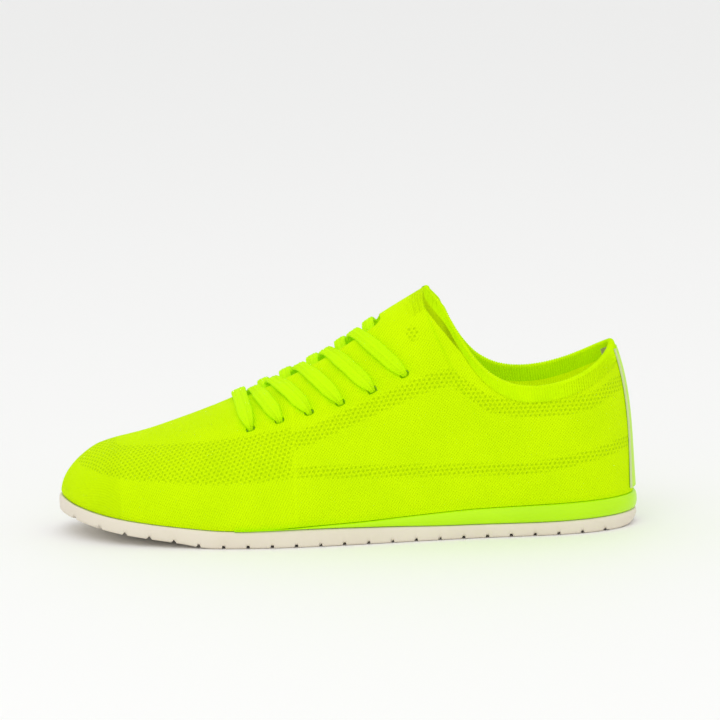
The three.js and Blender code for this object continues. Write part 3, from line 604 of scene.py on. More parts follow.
def wall_uv(side, ts, vs):
    """Flat position in the knit, in millimetres: along the sole, and up the wall. Grid of ts by vs."""
    run, climb = wall_table(side, ts)
    even = np.linspace(0, 1, ARC_STEPS + 1)
    u = np.stack([np.interp(vs, even, row) for row in run])
    w = np.stack([np.interp(vs, even, row) for row in climb])
    return np.stack([u, side * w], axis=-1).reshape(-1, 2)


# ------------------------------------------------------------------ openings in the knit
EYELET_T = np.arange(12.2, 19.3, 0.5)


def eyelet_pitch(step=0.05):
    ahead, behind = (on_instep(EYELET_T + d, 36, 0) for d in (step, -step))
    return np.linalg.norm(ahead - behind, axis=1) / (2 * step)


EYELET_PITCH = eyelet_pitch()


def station_pitch(t):
    """Millimetres per station along the surface beside the eyelets."""
    return np.interp(t, EYELET_T, EYELET_PITCH)


def rounded_box(x, y, a, b, r):
    dx, dy = np.abs(x) - a + r, np.abs(y) - b + r
    return np.hypot(np.maximum(dx, 0), np.maximum(dy, 0)) + np.minimum(np.maximum(dx, dy), 0) - r


def opening_distance(t, across):
    """Distance to the nearest opening in the knit, below 0 inside it, at a station and distance across."""
    pitch = station_pitch(t)
    middle = (SLOT_FRONT + SLOT_BACK) / 2
    long = (SLOT_FRONT - SLOT_BACK) / 2 * pitch
    best = rounded_box((t - middle) * pitch, across, long, SLOT_HALF, SLOT_ROUND)
    half, shift = (EYELET_IN + EYELET_OUT) / 2, (EYELET_IN - EYELET_OUT) / 2
    for eyelet in EYELETS:
        along, aside = (t - eyelet) * pitch, np.abs(across) - eyelet_arc(eyelet) + shift
        best = np.minimum(best, rounded_box(along, aside, EYELET_LONG, half, EYELET_ROUND))
    return best


def snap_to_openings(t, across, rounds=6, step=0.05):
    """Moves points that lie in an opening out onto its edge."""
    t, across = t.copy(), across.copy()
    for _ in range(rounds):
        d = opening_distance(t, across)
        pick = np.abs(d) > 1e-3
        pitch = station_pitch(t)
        along = step / pitch
        slope_t = (opening_distance(t + along, across) - opening_distance(t - along, across)) / (2 * step)
        slope_a = (opening_distance(t, across + step) - opening_distance(t, across - step)) / (2 * step)
        n = np.maximum(np.hypot(slope_t, slope_a), 0.3)
        t = np.where(pick, t - d * slope_t / n ** 2 / pitch, t)
        across = np.where(pick, across - d * slope_a / n ** 2, across)
    return t, across


def cut_grid(faces, inside, count):
    """Faces with at most two corners in an opening, and the corners that are left on its edge."""
    kept = faces[inside[faces].sum(axis=1) < 3]
    used = np.zeros(count, bool)
    used[kept.ravel()] = True
    return kept, used & inside


def compact(points, faces, *columns):
    """Drops the points that no face uses."""
    used = np.unique(faces.ravel())
    index = np.full(len(points), -1)
    index[used] = np.arange(len(used))
    return (points[used], index[faces].tolist()) + tuple(c[used] for c in columns)


# ------------------------------------------------------------------ relief of the knit
def hill(distance, width):
    return np.exp(-(distance / width) ** 2)


def throat_roll(t, aside):
    """The throat's turned edge stands up a little along its length."""
    behind, before = (smoothstep(t, edge - start, edge + end)
                      for edge, start, end in ((SLOT_BACK, 0.1, 0.3), (SLOT_FRONT, 0.3, 0.1)))
    return 0.45 * hill(aside - SLOT_HALF - 2.2, 2.4) * behind * (1 - before)


def eyelet_pucker(along, out):
    """The knit sinks at an eyelet, swells between eyelets and fans out in seven small folds."""
    fan, reach = np.arctan2(out, np.abs(along) + 0.3), np.hypot(along, out)
    sink = -0.9 * hill(along, 4.6) * hill(out, 4.2)
    swell = 0.55 * hill(np.abs(along) - 7.2, 3.2) * hill(out + 1, 7.5)
    return sink + swell + 0.28 * np.cos(7 * fan) * hill(reach - 7.5, 4) * (out > -3)


def front_crease(t, aside):
    """A crease ahead of the first eyelets, and the swelling beside it."""
    crease = (t - 18.75) * station_pitch(t) + 0.16 * (aside - 20)
    return 0.4 * hill(crease - 4.2, 3) * hill(aside - 26, 13) - 0.5 * hill(crease, 2) * hill(aside - 26, 12)


def knit_relief(t, across):
    """Height in millimetres of the knit's pulls and puckers on the instep."""
    aside = np.abs(across)
    height = throat_roll(t, aside) + front_crease(t, aside)
    for eyelet in EYELETS:
        height += eyelet_pucker((t - eyelet) * station_pitch(t), aside - eyelet_arc(eyelet))
    return height


rng = np.random.default_rng(7)
WAVES = [(rng.normal(0, 1, 3) * 0.075, rng.uniform(0, 2 * math.pi)) for _ in range(14)]


def undulation(p):
    """Slow unevenness of a soft wall, between about -1 and 1."""
    total = sum(np.sin(p @ k + phase) for k, phase in WAVES)
    return total / len(WAVES) ** 0.5 / 1.4


# ------------------------------------------------------------------ upper
UNEVEN = 0.22
FOOT_TUCK, TOE_HOLLOW = 0.6, 1.5
THROAT_START, THROAT_END, INSTEP_FROM, INSTEP_TO = 12.3, 18.6, 11.9, 20
MARGIN_INSETS = (9, 3.5, 1.2)
AHEAD_FROM, AHEAD_TO = 29.4, 30.6
SHEET_CREASE = 50


def upper_grid(side, ts, vs):
    """One side of the upper, openings cut: points, faces, two flat positions, and masks of holes and ribs."""
    t, v = grid_pairs(ts, vs).T.copy()
    steps, table = arcs(side, ts)
    arc = np.stack([np.interp(1 - vs, 1 - steps, row) for row in table])
    foot_arc, arc = (table[:, -1][:, None] - arc).ravel(), arc.ravel()
    inside = (opening_distance(t, arc) < 0) & (t > THROAT_START) & (t < THROAT_END)
    faces, edge = cut_grid(grid_faces(len(ts), len(vs)), inside, len(t))
    t[edge], arc[edge] = snap_to_openings(t[edge], arc[edge])
    arc = np.maximum(arc, 0)
    v[edge] = params_at(arc[edge], arcs(side, t[edge])[1], steps)
    points = outer(side, t, v)
    soft = UNEVEN * undulation(points)
    height = soft * smoothstep(v, 0, 0.15)
    instep = (t > INSTEP_FROM) & (t < INSTEP_TO)
    height[instep] += knit_relief(t[instep], side * arc[instep]) * smoothstep(t[instep], INSTEP_FROM, 12.6)
    height -= FOOT_TUCK * (1 - smoothstep(v, 0, 0.035))
    height -= TOE_HOLLOW * np.sin(math.pi * np.clip(v * 1.35, 0, 1)) * smoothstep(t, 22.6, 25.4)
    points = points + normal_at(side, t, v) * height[:, None]
    seam = (v > 0.999) & (t >= PEAK)
    points[seam] = outer(1, t[seam], 1.0) + crest_normal(t[seam]) * soft[seam][:, None]
    masks = np.stack([perforation_zone(points, t, foot_arc), rib_zone(t, arc)], axis=-1)
    return points, faces, cloth_uv(side, t, arc), wall_uv(side, ts, vs), masks


def turned_margin(side, ts):
    """Rows that carry the knit from the foot of the wall in under the board."""
    foot, out = feather_point(side, column(side, "run", ts))
    rows = foot[:, None] - out[:, None] * np.array(MARGIN_INSETS)[:, None]
    rows[..., 2] = feather_z(rows[..., 0]) + GAP
    return rows


def upper_side(side, ts, vs):
    """One side of the upper with the margin that turns in under it: faces, then what each point carries."""
    points, faces, flat, wall, masks = upper_grid(side, ts, vs)
    foot = [q.reshape(len(ts), len(vs), -1)[:, :1] for q in (points, flat, wall)]
    strip = np.concatenate([turned_margin(side, ts), foot[0]], axis=1)
    rows = strip.shape[1]
    faces = np.concatenate([faces, grid_faces(len(ts), rows) + len(points)])
    spread = [q.repeat(rows, axis=1).reshape(-1, 2) for q in foot[1:]]
    strip_parts = (strip.reshape(-1, 3), *spread, np.zeros((len(ts) * rows, 2)))
    columns = [np.concatenate(pair) for pair in zip((points, flat, wall, masks), strip_parts)]
    return faces, *columns


def upper_skin():
    ts = np.concatenate([np.arange(0, 12.2, 0.08), np.arange(12.2, 18.8, 0.045), np.arange(18.8, TOE, 0.1)])
    ts = np.unique(np.append(np.round(ts, 4), [PEAK, POLE, TOE]))
    vs = np.concatenate([np.linspace(0, 0.06, 6)[:-1], np.linspace(0.06, 1, 104)])
    halves = [upper_side(side, ts, vs) for side in (1, -1)]
    faces = np.concatenate([halves[0][0][:, ::-1], halves[1][0] + len(halves[0][1])])
    points, flat, wall, masks = (np.concatenate([half[k] for half in halves]) for k in (1, 2, 3, 4))
    points, faces, flat, wall, masks = compact(points, faces, flat, wall, masks)
    obj = make_object("upper_skin", points, faces)
    set_uv(obj, flat)
    set_uv(obj, wall, "wall")
    set_mask(obj, "ahead", smoothstep(points[:, 0], AHEAD_FROM, AHEAD_TO))
    set_mask(obj, "perforated", masks[:, 0])
    set_mask(obj, "ribbed", masks[:, 1])
    weld(obj, 0.02)
    thicken(obj, KNIT)
    return keep_sharp(obj, SHEET_CREASE)


# Lines that the bands of holes follow on each side, as x and z.
UPPER_BAND = [(44, 46), (40, 48), (20, 54.5), (0, 62.5), (-20, 70.5), (-36, 77), (-49, 80), (-58, 73.5),
              (-67, 67), (-79, 64.5), (-96, 64), (-108, 64.6), (-121, 67), (-129, 71), (-140, 74)]
LOWER_BAND = [(46, 37.5), (30, 37), (-25, 35.5), (-58, 34.5), (-83, 34), (-100, 35.7), (-116, 38.5),
              (-133, 42), (-142, 44)]
# Heights above the sole's edge, along the wall, between which the forefoot has holes: x, low and high.
FOREFOOT_HOLES = [(30, 25, 52), (60, 24, 50), (100, 22, 47), (133, 20, 45)]
SPOT_X, SPOT_Z = -31, 100.5


def line_height(line, x):
    xs, zs = np.array(line[::-1], float).T
    return np.interp(x, xs, zs)


def band(distance, half, soft=0.8):
    return 1 - smoothstep(np.abs(distance), half - soft, half + soft)


def perforation_zone(p, t, foot_arc):
    """Where the knit has holes: the forefoot, a band above and one below on each side, and a small spot."""
    x, z = p[:, 0], p[:, 2]
    xs, lows, tops = zip(*FOREFOOT_HOLES)
    low, top = np.interp(x, xs, lows), np.interp(x, xs, tops)
    fore = smoothstep(foot_arc, low - 1, low + 1) * (1 - smoothstep(foot_arc, top - 1, top + 1))
    fore *= smoothstep(x, 29, 33)
    high = band((z - line_height(UPPER_BAND, x)) * 0.92, 3.8) * (1 - smoothstep(x, 40, 44)) * (t > 0.9)
    down = band(z - line_height(LOWER_BAND, x), 3.0) * (1 - smoothstep(x, 27, 31)) * (t > 0.9)
    spot = 1 - smoothstep(np.hypot(x - SPOT_X, (z - SPOT_Z) * 0.8), 2.4, 3.6)
    return np.clip(fore + high + down + spot, 0, 1)


def rib_zone(t, arc):
    """Band of ribbing below the collar's edge, which widens round its front peak."""
    width = 7.5 + 9 * smoothstep(t, 9.6, 11.2)
    return (1 - smoothstep(arc, width - 0.4, width + 0.4)) * (1 - smoothstep(t, 12.15, 12.5))


# ------------------------------------------------------------------ collar edge
RIB_PITCH, RIB_HEIGHT = 1.35, 0.2
COLLAR_RADIUS, COLLAR_PROUD = 1.6, 0.25
COLLAR_BAND, COLLAR_INSIDE = 7.0, 7.0


def rim_frame(side, t):
    """Rim point, surface normal, and the direction off the rim's edge."""
    p = outer(side, t, 1.0)
    peak = t >= PEAK
    tangent = outer(side, np.minimum(t + 0.02, PEAK), 1.0) - outer(side, np.maximum(t - 0.02, 0), 1.0)
    tangent[(t <= 0) | peak] *= (0, 1, 0)
    tangent = unit(tangent)
    n = normal_at(side, t, np.where(peak, 1.0, 0.999))
    n[peak] = crest_normal(t[peak])
    up = np.cross(tangent, n) * -side
    down = outer(side, t, 0.97) - p
    up *= np.where((up * down).sum(axis=1) > 0, -1, 1)[:, None]
    up[peak] = np.cross(tangent[peak], n[peak]) * side
    up[up[:, 2] < 0] *= -1
    return p, n, unit(up)


def collar_rows(side, ts, rib):
    """Rows of the collar's edge: up the outside, over the rim, down the inside."""
    p, n, up = rim_frame(side, ts)
    steps, table = arcs(side, ts)
    wide = COLLAR_BAND + 2.5 * smoothstep(ts, 10, 11.6) - 6.5 * smoothstep(ts, 11.75, 12)
    for k in np.linspace(1, 0.06, 11):
        fade = smoothstep(1 - k, 0, 0.12)
        height = -0.3 + 0.5 * fade + RIB_HEIGHT * rib * fade
        yield off(side, ts, params_at(wide * k, table, steps), height)
    radius = COLLAR_RADIUS + RIB_HEIGHT * rib
    centre = p - n * (COLLAR_RADIUS - COLLAR_PROUD)
    for angle in np.linspace(0, math.pi, 13):
        yield centre + n * (radius * math.cos(angle))[:, None] + up * (radius * math.sin(angle))[:, None]
    deep = 2 * COLLAR_RADIUS - COLLAR_PROUD
    at_peak = smoothstep(ts, 10.2, 11.2)[:, None]
    for k in (0.15, 0.35, 0.6, 0.85, 1.0):
        down = COLLAR_INSIDE * k
        fade = 1 - smoothstep(k, 0.8, 1.0)
        depth = deep - 0.1 * (1 - fade) + 0.12 * rib * fade
        inner = off(side, ts, params_at(np.full(len(ts), down), table, steps), -depth)
        away = p - n * deep - up * down
        yield inner * (1 - at_peak) + away * at_peak


def collar_half(side):
    ts = np.arange(0, PEAK + 0.001, 0.02)
    walked = run_along(rim_frame(side, ts)[0])
    even = np.append(np.arange(0, walked[-1], RIB_PITCH / 6), walked[-1])
    rib = np.cos(2 * math.pi * even / RIB_PITCH)
    grid = np.stack(list(collar_rows(side, np.interp(even, walked, ts), rib)), axis=1)
    return side, grid, even, np.arange(grid.shape[1], dtype=float)


def collar_edge():
    """Ribbed edge that rolls over the rim, standing a little proud of the knit."""
    return two_halves("collar_edge", [collar_half(side) for side in (1, -1)], as_laid=-1)


# ------------------------------------------------------------------ sheets
SHEET_CELL, SHEET_PITCH = 0.9, 17
HEEL_MIDDLE_X = -0.08


def sheet(name, points, faces, uv, facing, thickness):
    """Thin piece grown inwards from its outer face; facing(polygon) is above 0 where a face looks out."""
    obj = make_object(name, points, faces)
    set_uv(obj, uv)
    if np.mean([facing(polygon) for polygon in obj.data.polygons]) < 0:
        obj.data.flip_normals()
    thicken(obj, thickness)
    return keep_sharp(obj, SHEET_CREASE)


def instep_sheet(name, t0, t1, a0, a1, height, thickness, holes=False):
    """Dense sheet on the instep between two distances across; height(t, across) is of its upper face."""
    rows, cols = int((t1 - t0) * SHEET_PITCH / SHEET_CELL), int(abs(a1 - a0) / SHEET_CELL)
    t, a = grid_pairs(np.linspace(t0, t1, rows), np.linspace(a0, a1, cols)).T.copy()
    faces = grid_faces(rows, cols)
    if holes:
        faces, edge = cut_grid(faces, opening_distance(t, a) < 0, len(t))
        t[edge], a[edge] = snap_to_openings(t[edge], a[edge])
    points, faces, uv = compact(on_instep(t, a, height(t, a)), faces, np.stack([a, t * SHEET_PITCH], axis=-1))
    return sheet(name, points, faces, uv, lambda polygon: polygon.normal.z, thickness)


def wall_sheet(name, columns, params, depth, thickness):
    """Sheet on the walls: columns are (side, t), and its outer face lies depth(v) under the surface."""
    grid = np.stack([off(side, float(t), params, -depth(params)) for side, t in columns])
    uv = grid_pairs(run_along(grid[:, grid.shape[1] // 2]), run_along(grid[len(grid) // 2]))

    def facing(polygon):
        return polygon.normal.dot(polygon.center - Vector((HEEL_MIDDLE_X, 0, polygon.center.z)))

    return sheet(name, grid.reshape(-1, 3), grid_faces(*grid.shape[:2]).tolist(), uv, facing, thickness)


def round_heel(to, step):
    ts = np.arange(0, to + 1e-6, step)
    return [(-1, t) for t in ts[:0:-1]] + [(1, t) for t in ts]


def heel_station(side, v, distance):
    """Station at a distance round the heel from its middle line."""
    ts = np.linspace(0, 6, 121)
    return np.interp(distance, run_along(outer(side, ts, v)), ts)


def heel_band(name, low_d, high_d, v0, v1, height, thickness, cols=40, bulge=0):
    """Upright band on the heel, with distances from its middle line that change with height."""
    grid, uv = [], []
    lift = height + bulge * np.sin(np.linspace(0, math.pi, cols))
    for v in np.linspace(v0, v1, 90):
        d = np.linspace(low_d(v), high_d(v), cols)
        row = np.empty((cols, 3))
        for side in (1, -1):
            pick = (d >= 0) == (side == 1)
            t = heel_station(side, v, np.abs(d[pick]))
            row[pick] = off(side, t, np.full(len(t), v), lift[pick])
        grid.append(row)
        uv.append(np.stack([d, np.full(cols, v * 90)], axis=-1))
    return sheet(name, np.concatenate(grid), grid_faces(len(grid), cols).tolist(), np.concatenate(uv),
                 lambda polygon: -polygon.normal.x, thickness)


# ------------------------------------------------------------------ sole
GROOVE_PITCH, GROOVE_WIDTH, GROOVE_DEPTH, GROOVE_EDGE = 12, 1.7, 1.4, 0.16
GROOVES = [-126 + GROOVE_PITCH * k for k in range(23)]
SOLE_STEP = 1.6
MIDDLE_FROM, MIDDLE_TO = -112, 108
BEYOND = 200
# Rows of a sole layer's section: inset, share of the way to the middle line, level between the layer's low
# (0) and high (1) surface, and lift above that.
OUTSOLE = [
    (4.2, 0, 1, -0.6), (3.4, 0, 1, -0.25), (2.4, 0, 1, -0.05), (1.3, 0, 1, 0), (0.6, 0, 1, -0.12),
    (0.18, 0, 1, -0.5), (0, 0, 1, -1.1), (-0.12, 0, 1, -2.4), (-0.1, 0, 0.5, 0), (0.05, 0, 0, 1.5),
    (0.3, 0, 0, 0.75), (0.8, 0, 0, 0.25), (1.6, 0, 0, 0), (4, 0, 0, 0),
] + [(7, share, 0, 0) for share in (0, 0.2, 0.4, 0.6, 0.8, 1)]
MIDSOLE_EDGE = [(0.9, 0), (0.25, 0.07), (-0.1, 0.18), (-0.35, 0.35), (-0.42, 0.5), (-0.3, 0.68), (0, 0.84),
                (0.5, 0.95), (1.3, 1)]
MIDSOLE = [(14, 1, 0, 0), (14, 0.5, 0, 0), (9, 0, 0, 0), (4, 0, 0, 0)]
MIDSOLE += [(inset, 0, level, 0) for inset, level in MIDSOLE_EDGE]
MIDSOLE += [(4, 0, 1, 0), (9, 0, 1, 0), (14, 0.5, 1, 0), (14, 1, 1, 0)]
MIDSOLE_FRONT, MIDSOLE_LIFT, MIDSOLE_THIN = 62, 0.25, 0.6


def loop_samples(x0, x1):
    """Places round the outline between two stations: side, run, point, outward normal."""
    rows = []
    for side in (1, -1):
        base, run, out = inset_side(side, 0)
        stops = list(np.arange(0, run[-1], SOLE_STEP)) + [run[-1]]
        for groove in GROOVES:
            for edge in (groove - GROOVE_WIDTH / 2, groove + GROOVE_WIDTH / 2):
                stops += list(np.interp([edge - GROOVE_EDGE, edge + GROOVE_EDGE], base[:, 0], run))
        stops = np.unique(np.round(stops, 3))
        xy, normal = sample(stops, run, base), unit(sample(stops, run, out))
        keep = (xy[:, 0] >= x0 - 1e-6) & (xy[:, 0] <= x1 + 1e-6)
        rows.append((side, stops[keep], xy[keep], normal[keep]))
    return rows


def centre_line(x):
    """Point of the sole's middle line that a rib from the outline runs to."""
    cx = np.clip(x, MIDDLE_FROM, MIDDLE_TO)
    y = [np.interp(cx, SIDES[side][:, 0], SIDES[side][:, 1]) for side in (1, -1)]
    return np.stack([cx, (y[0] + y[1]) / 2], axis=1)


def sole_body(name, section, low, high, x0=-BEYOND, x1=BEYOND):
    """Closed layer of the sole between the surfaces low(x) and high(x)."""
    halves = []
    for side, run, xy, normal in loop_samples(x0, x1):
        middle = centre_line(xy[:, 0])
        rows = []
        for inset, share, level, lift in section:
            p = xy - normal * inset
            p = p + (middle - p) * share
            bottom, top = low(p[:, 0]), high(p[:, 0])
            rows.append(np.column_stack([p, bottom + (top - bottom) * level + lift]))
        grid = np.stack(rows, axis=1)
        halves.append((side, grid, run, run_along(grid[len(grid) // 2])))
    obj = two_halves(name, halves, as_laid=1)
    orient(obj)
    return keep_sharp(obj, 55)


def lug_z(x):
    """Underside of the outsole, with its cross grooves."""
    nearest = np.abs(x[..., None] - np.array(GROOVES)).min(axis=-1)
    return underside_z(x) + GROOVE_DEPTH * (nearest < GROOVE_WIDTH / 2)


def outsole_skin():
    return sole_body("outsole_skin", OUTSOLE, lug_z, sole_edge_z)


def midsole_skin():
    low = lambda x: sole_edge_z(x) + MIDSOLE_LIFT
    high = lambda x: np.maximum(wedge_top_z(x), sole_edge_z(x) + MIDSOLE_THIN)
    return sole_body("midsole_skin", MIDSOLE, low, high, x1=MIDSOLE_FRONT)


def layer_skin(name, inset, low, thick, x0, x1, round_by):
    """Flat layer with rounded edges."""
    corner = min(round_by, thick / 2)
    section = [(inset + 8, 1, 0, 0), (inset + 8, 0.5, 0, 0), (inset + 2, 0, 0, 0),
               (inset + round_by, 0, 0, 0), (inset, 0, 0, corner), (inset, 0, 1, -corner)]
    section += [(inset + further, 0, 1, 0) for further in (round_by, 2, 5, 8)]
    section += [(inset + 8, share, 1, 0) for share in (0.25, 0.5, 0.75, 1)]
    return sole_body(name, section, low, lambda x: low(x) + thick, x0, x1)


# ------------------------------------------------------------------ lace
LACE_HALF_WIDTH, LACE_HALF_THICK, LACE_STEP, LACE_ROUND = 3.4, 1.0, 0.7, 56
# The last stretch, tucked in under the knit: distance across and station.
LACE_END = [(27, 12.86), (22, 12.74), (17.5, 12.62)]
# Over the throat, from its near edge to its far one: distance across, share of the way, height.
TOP_STRAP = [(-9.6, 0, LACE_UNDER), (-6, 0.04, -3.6), (-2, 0.12, -1.1), (2, 0.2, 0.6), (6, 0.28, 1.4),
             (11, 0.38, LACE_OVER)]
LOW_STRAP = [(-10, 0.52, LACE_UNDER), (-6, 0.58, -4.3), (-2, 0.64, -2.9), (2, 0.7, -0.9),
             (6, 0.75, 1), (10, 0.8, LACE_OVER)]
FIRST_TOP = [(-10, 0.3, LACE_UNDER), (-6, 0.36, -4), (-2, 0.43, -1.9), (2, 0.5, 0.3), (6, 0.56, 1.4),
             (11, 0.62, LACE_OVER)]
FIRST_LOW = [(-10, 0.66, LACE_UNDER), (-6, 0.76, -4.3), (-2, 0.84, -2.9), (2, 0.9, -0.9),
             (6, 0.93, 1), (10, 0.95, LACE_OVER)]
# Down through an eyelet: distance inside it, height, and the share of the lace's width that is left.
DIVE_IN = [(2.6, 1.35, 0.78), (1.1, 0.75, 0.58), (0.35, -0.3, 0.44)]
DIVE_OUT = [(0, -1.6, 0.42), (0.3, -3.0, 0.46), (1.4, -4.1, 0.6), (3.4, -4.5, 0.8), (7, LACE_UNDER, 1.0)]


def strap(start, end, to_lateral, steps):
    """Route from one eyelet up through the slot and over to the next one on the other side."""
    sign = 1 if to_lateral else -1
    arc_from, arc_to = eyelet_arc(start), eyelet_arc(end)

    def at(across, share, height, wide=1.0):
        return (start + (end - start) * share, sign * across, height, wide)

    first_across, first_share = steps[0][:2]
    last_across, last_share = steps[-1][:2]
    hidden = arc_from - 7
    path = [at(-hidden + (hidden + first_across) * k, first_share * k, LACE_UNDER) for k in (0.3, 0.6)]
    path += [at(*step, 0.95) for step in steps]
    slope = (1 - last_share) / (arc_to - last_across)
    for k in (0.3, 0.6, 0.85):
        across = last_across + (arc_to - 4 - last_across) * k
        bulge = LACE_OVER + 0.5 * math.sin(math.pi * k)
        path.append(at(across, last_share + slope * (across - last_across), bulge, 1.12))
    path += [at(arc_to - inside, 1 - slope * inside, height, wide) for inside, height, wide in DIVE_IN]
    return path


def dive(station, lateral, steps=DIVE_OUT):
    """Route down through an eyelet to the inside."""
    sign = 1 if lateral else -1
    return [(station, sign * (eyelet_arc(station) - inside), height, wide) for inside, height, wide in steps]


def lace_arm(start_lateral):
    path = []
    for k in range(len(EYELETS) - 1):
        to_lateral = start_lateral != (k % 2 == 0)
        first = k == 0
        steps = (FIRST_TOP if first else TOP_STRAP) if to_lateral else (FIRST_LOW if first else LOW_STRAP)
        path += strap(EYELETS[k], EYELETS[k + 1], to_lateral, steps)
        path += dive(EYELETS[k + 1], to_lateral)
    sign = np.sign(path[-1][1])
    return path + [(t, sign * across, LACE_UNDER + 0.1, 1.0) for across, t in LACE_END]


def lace_path():
    """Station, distance across, height and share of the width, from the medial end to the lateral one."""
    front = EYELETS[0]
    reach = eyelet_arc(front) - 9
    bar = [(front, across, LACE_OVER + 0.1, 1.1) for across in np.linspace(-reach, reach, 7)]
    lateral = dive(front, True, DIVE_IN + DIVE_OUT) + lace_arm(True)
    medial = dive(front, False, DIVE_IN + DIVE_OUT) + lace_arm(False)
    return np.array(medial[::-1] + bar + lateral)


def smooth_through(points, spacing):
    """Smooth rows through the points at an even spacing, and the distance along them."""
    ends = np.vstack([2 * points[0] - points[1], points, 2 * points[-1] - points[-2]])
    fine = np.vstack([catmull(ends, 12), points[-1:]])
    run = run_along(fine[:, :3])
    even = np.arange(0, run[-1], spacing)
    return sample(even, run, fine), even


def lace_section():
    """Flat woven band: a rounded oblong with shallow ribs along it. Pairs of across and up."""
    angles = np.linspace(0, 2 * math.pi, LACE_ROUND, endpoint=False) + math.pi / LACE_ROUND
    c, s = np.cos(angles), np.sin(angles)
    across = LACE_HALF_WIDTH * np.sign(c) * np.abs(c) ** 0.75
    up = LACE_HALF_THICK * np.sign(s) * np.abs(s) ** 0.7
    rib = 0.14 * np.cos(2 * math.pi * across / 1.36) * np.abs(s) ** 0.5
    return across, up + np.sign(s) * rib


def tube_faces(rows, cols):
    """Faces round a closed tube, with a cap at each end."""
    corner, after = np.arange(cols), np.roll(np.arange(cols), -1)
    ring = np.stack([corner, after, cols + after, cols + corner], axis=1)
    sides = np.concatenate([ring + i * cols for i in range(rows - 1)])
    return sides.tolist() + [corner.tolist(), ((rows - 1) * cols + corner)[::-1].tolist()]


def lace_skin():
    t, across, height, share = lace_path().T
    flat = unit(on_instep(t - 0.05, across, 0) - on_instep(t + 0.05, across, 0))
    rows, even = smooth_through(np.column_stack([on_instep(t, across, height), flat, share]), LACE_STEP)
    p, flat, share = rows[:, :3], rows[:, 3:6], rows[:, 6]
    along = unit(np.gradient(p, axis=0))
    wide = unit(flat - along * (flat * along).sum(axis=1)[:, None])
    thick = np.cross(along, wide)
    a, u = lace_section()
    sway = 0.03 * np.sin(even / 9.0) + 0.02 * np.sin(even / 3.7 + 1)
    a = a[None, :] * (share + sway)[:, None]
    u = u[None, :] * (1.1 + 0.25 * (1 - share))[:, None]
    grid = p[:, None] + wide[:, None] * a[..., None] + thick[:, None] * u[..., None]
    obj = make_object("lace_skin", grid.reshape(-1, 3), tube_faces(*grid.shape[:2]))
    girth = np.cumsum(np.hypot(np.diff(a[0], append=a[0, 0]), np.diff(u[0], append=u[0, 0])))
    set_uv(obj, grid_pairs(even, girth))
    return orient(obj)


# ------------------------------------------------------------------ materials
class Shade:
    """Short names for building one material's nodes. Lengths are millimetres of the piece's metric UV."""

    def __init__(self, name, color, roughness):
        self.material = bpy.data.materials.new(name)
        self.material.use_nodes = True
        self.nodes = self.material.node_tree.nodes
        self.links = self.material.node_tree.links
        self.shader = self.nodes["Principled BSDF"]
        self.shader.inputs["Base Color"].default_value = (*color, 1)
        self.shader.inputs["Roughness"].default_value = roughness
        self.material.diffuse_color = (*color, 1)

    def link(self, source, target):
        self.links.new(source, target)

    def feed(self, socket, value):
        if isinstance(value, (int, float)):
            socket.default_value = value
        elif isinstance(value, tuple):
            socket.default_value = value if len(value) == len(socket.default_value) else (*value, 1)
        else:
            self.link(value, socket)

    def math(self, operation, a, b=0.0, c=0.0, clamp=False):
        node = self.nodes.new("ShaderNodeMath")
        node.operation, node.use_clamp = operation, clamp
        for socket, value in zip(node.inputs, (a, b, c)):
            self.feed(socket, value)
        return node.outputs[0]

    def add(self, a, b):
        return self.math("ADD", a, b)

    def mul(self, a, b):
        return self.math("MULTIPLY", a, b)

    def uv(self, name="metric"):
        node = self.nodes.new("ShaderNodeUVMap")
        node.uv_map = name
        split = self.nodes.new("ShaderNodeSeparateXYZ")
        self.link(node.outputs[0], split.inputs[0])
        return split.outputs[0], split.outputs[1]

    def place(self):
        """Position on the piece in millimetres."""
        node = self.nodes.new("ShaderNodeTexCoord")
        scale = self.nodes.new("ShaderNodeVectorMath")
        scale.operation = "SCALE"
        scale.inputs["Scale"].default_value = 1000
        self.link(node.outputs["Object"], scale.inputs[0])
        return scale.outputs[0]

    def mask(self, name):
        node = self.nodes.new("ShaderNodeAttribute")
        node.attribute_name = name
        return node.outputs["Fac"]

    def noise(self, scale, detail=2.0):
        node = self.nodes.new("ShaderNodeTexNoise")
        node.inputs["Scale"].default_value = scale
        node.inputs["Detail"].default_value = detail
        self.link(self.place(), node.inputs["Vector"])
        return node.outputs["Fac"]

    def steps(self, value, low, high, to_low=0.0, to_high=1.0):
        node = self.nodes.new("ShaderNodeMapRange")
        node.interpolation_type = "SMOOTHSTEP"
        for socket, number in zip(node.inputs[:5], (value, low, high, to_low, to_high)):
            self.feed(socket, number)
        return node.outputs[0]

    def mix(self, factor, a, b):
        node = self.nodes.new("ShaderNodeMix")
        node.data_type = "RGBA"
        self.feed(node.inputs[0], factor)
        self.feed(node.inputs[6], a)
        self.feed(node.inputs[7], b)
        return node.outputs[2]

    def wave(self, value, pitch, phase=0.0):
        """Sine of a length, from -1 to 1."""
        turned = self.add(self.mul(value, 2 * math.pi / pitch), phase)
        return self.math("SINE", turned)

    def bump(self, height, distance, strength=1.0):
        """height in units of distance, which is millimetres."""
        node = self.nodes.new("ShaderNodeBump")
        node.inputs["Strength"].default_value = strength
        node.inputs["Distance"].default_value = distance * MM
        self.link(height, node.inputs["Height"])
        self.link(node.outputs[0], self.shader.inputs["Normal"])

    def color(self, value):
        self.link(value, self.shader.inputs["Base Color"])

    def glow(self, color, strength):
        """Painted glow: a faint emission that brightens the fluorescent-dyed fabric and lifts its shade."""
        return self.set(Emission_Color=(*color, 1), Emission_Strength=strength)

    def set(self, **values):
        for name, value in values.items():
            socket = self.shader.inputs[name.replace("_", " ")]
            self.feed(socket, value)
        return self


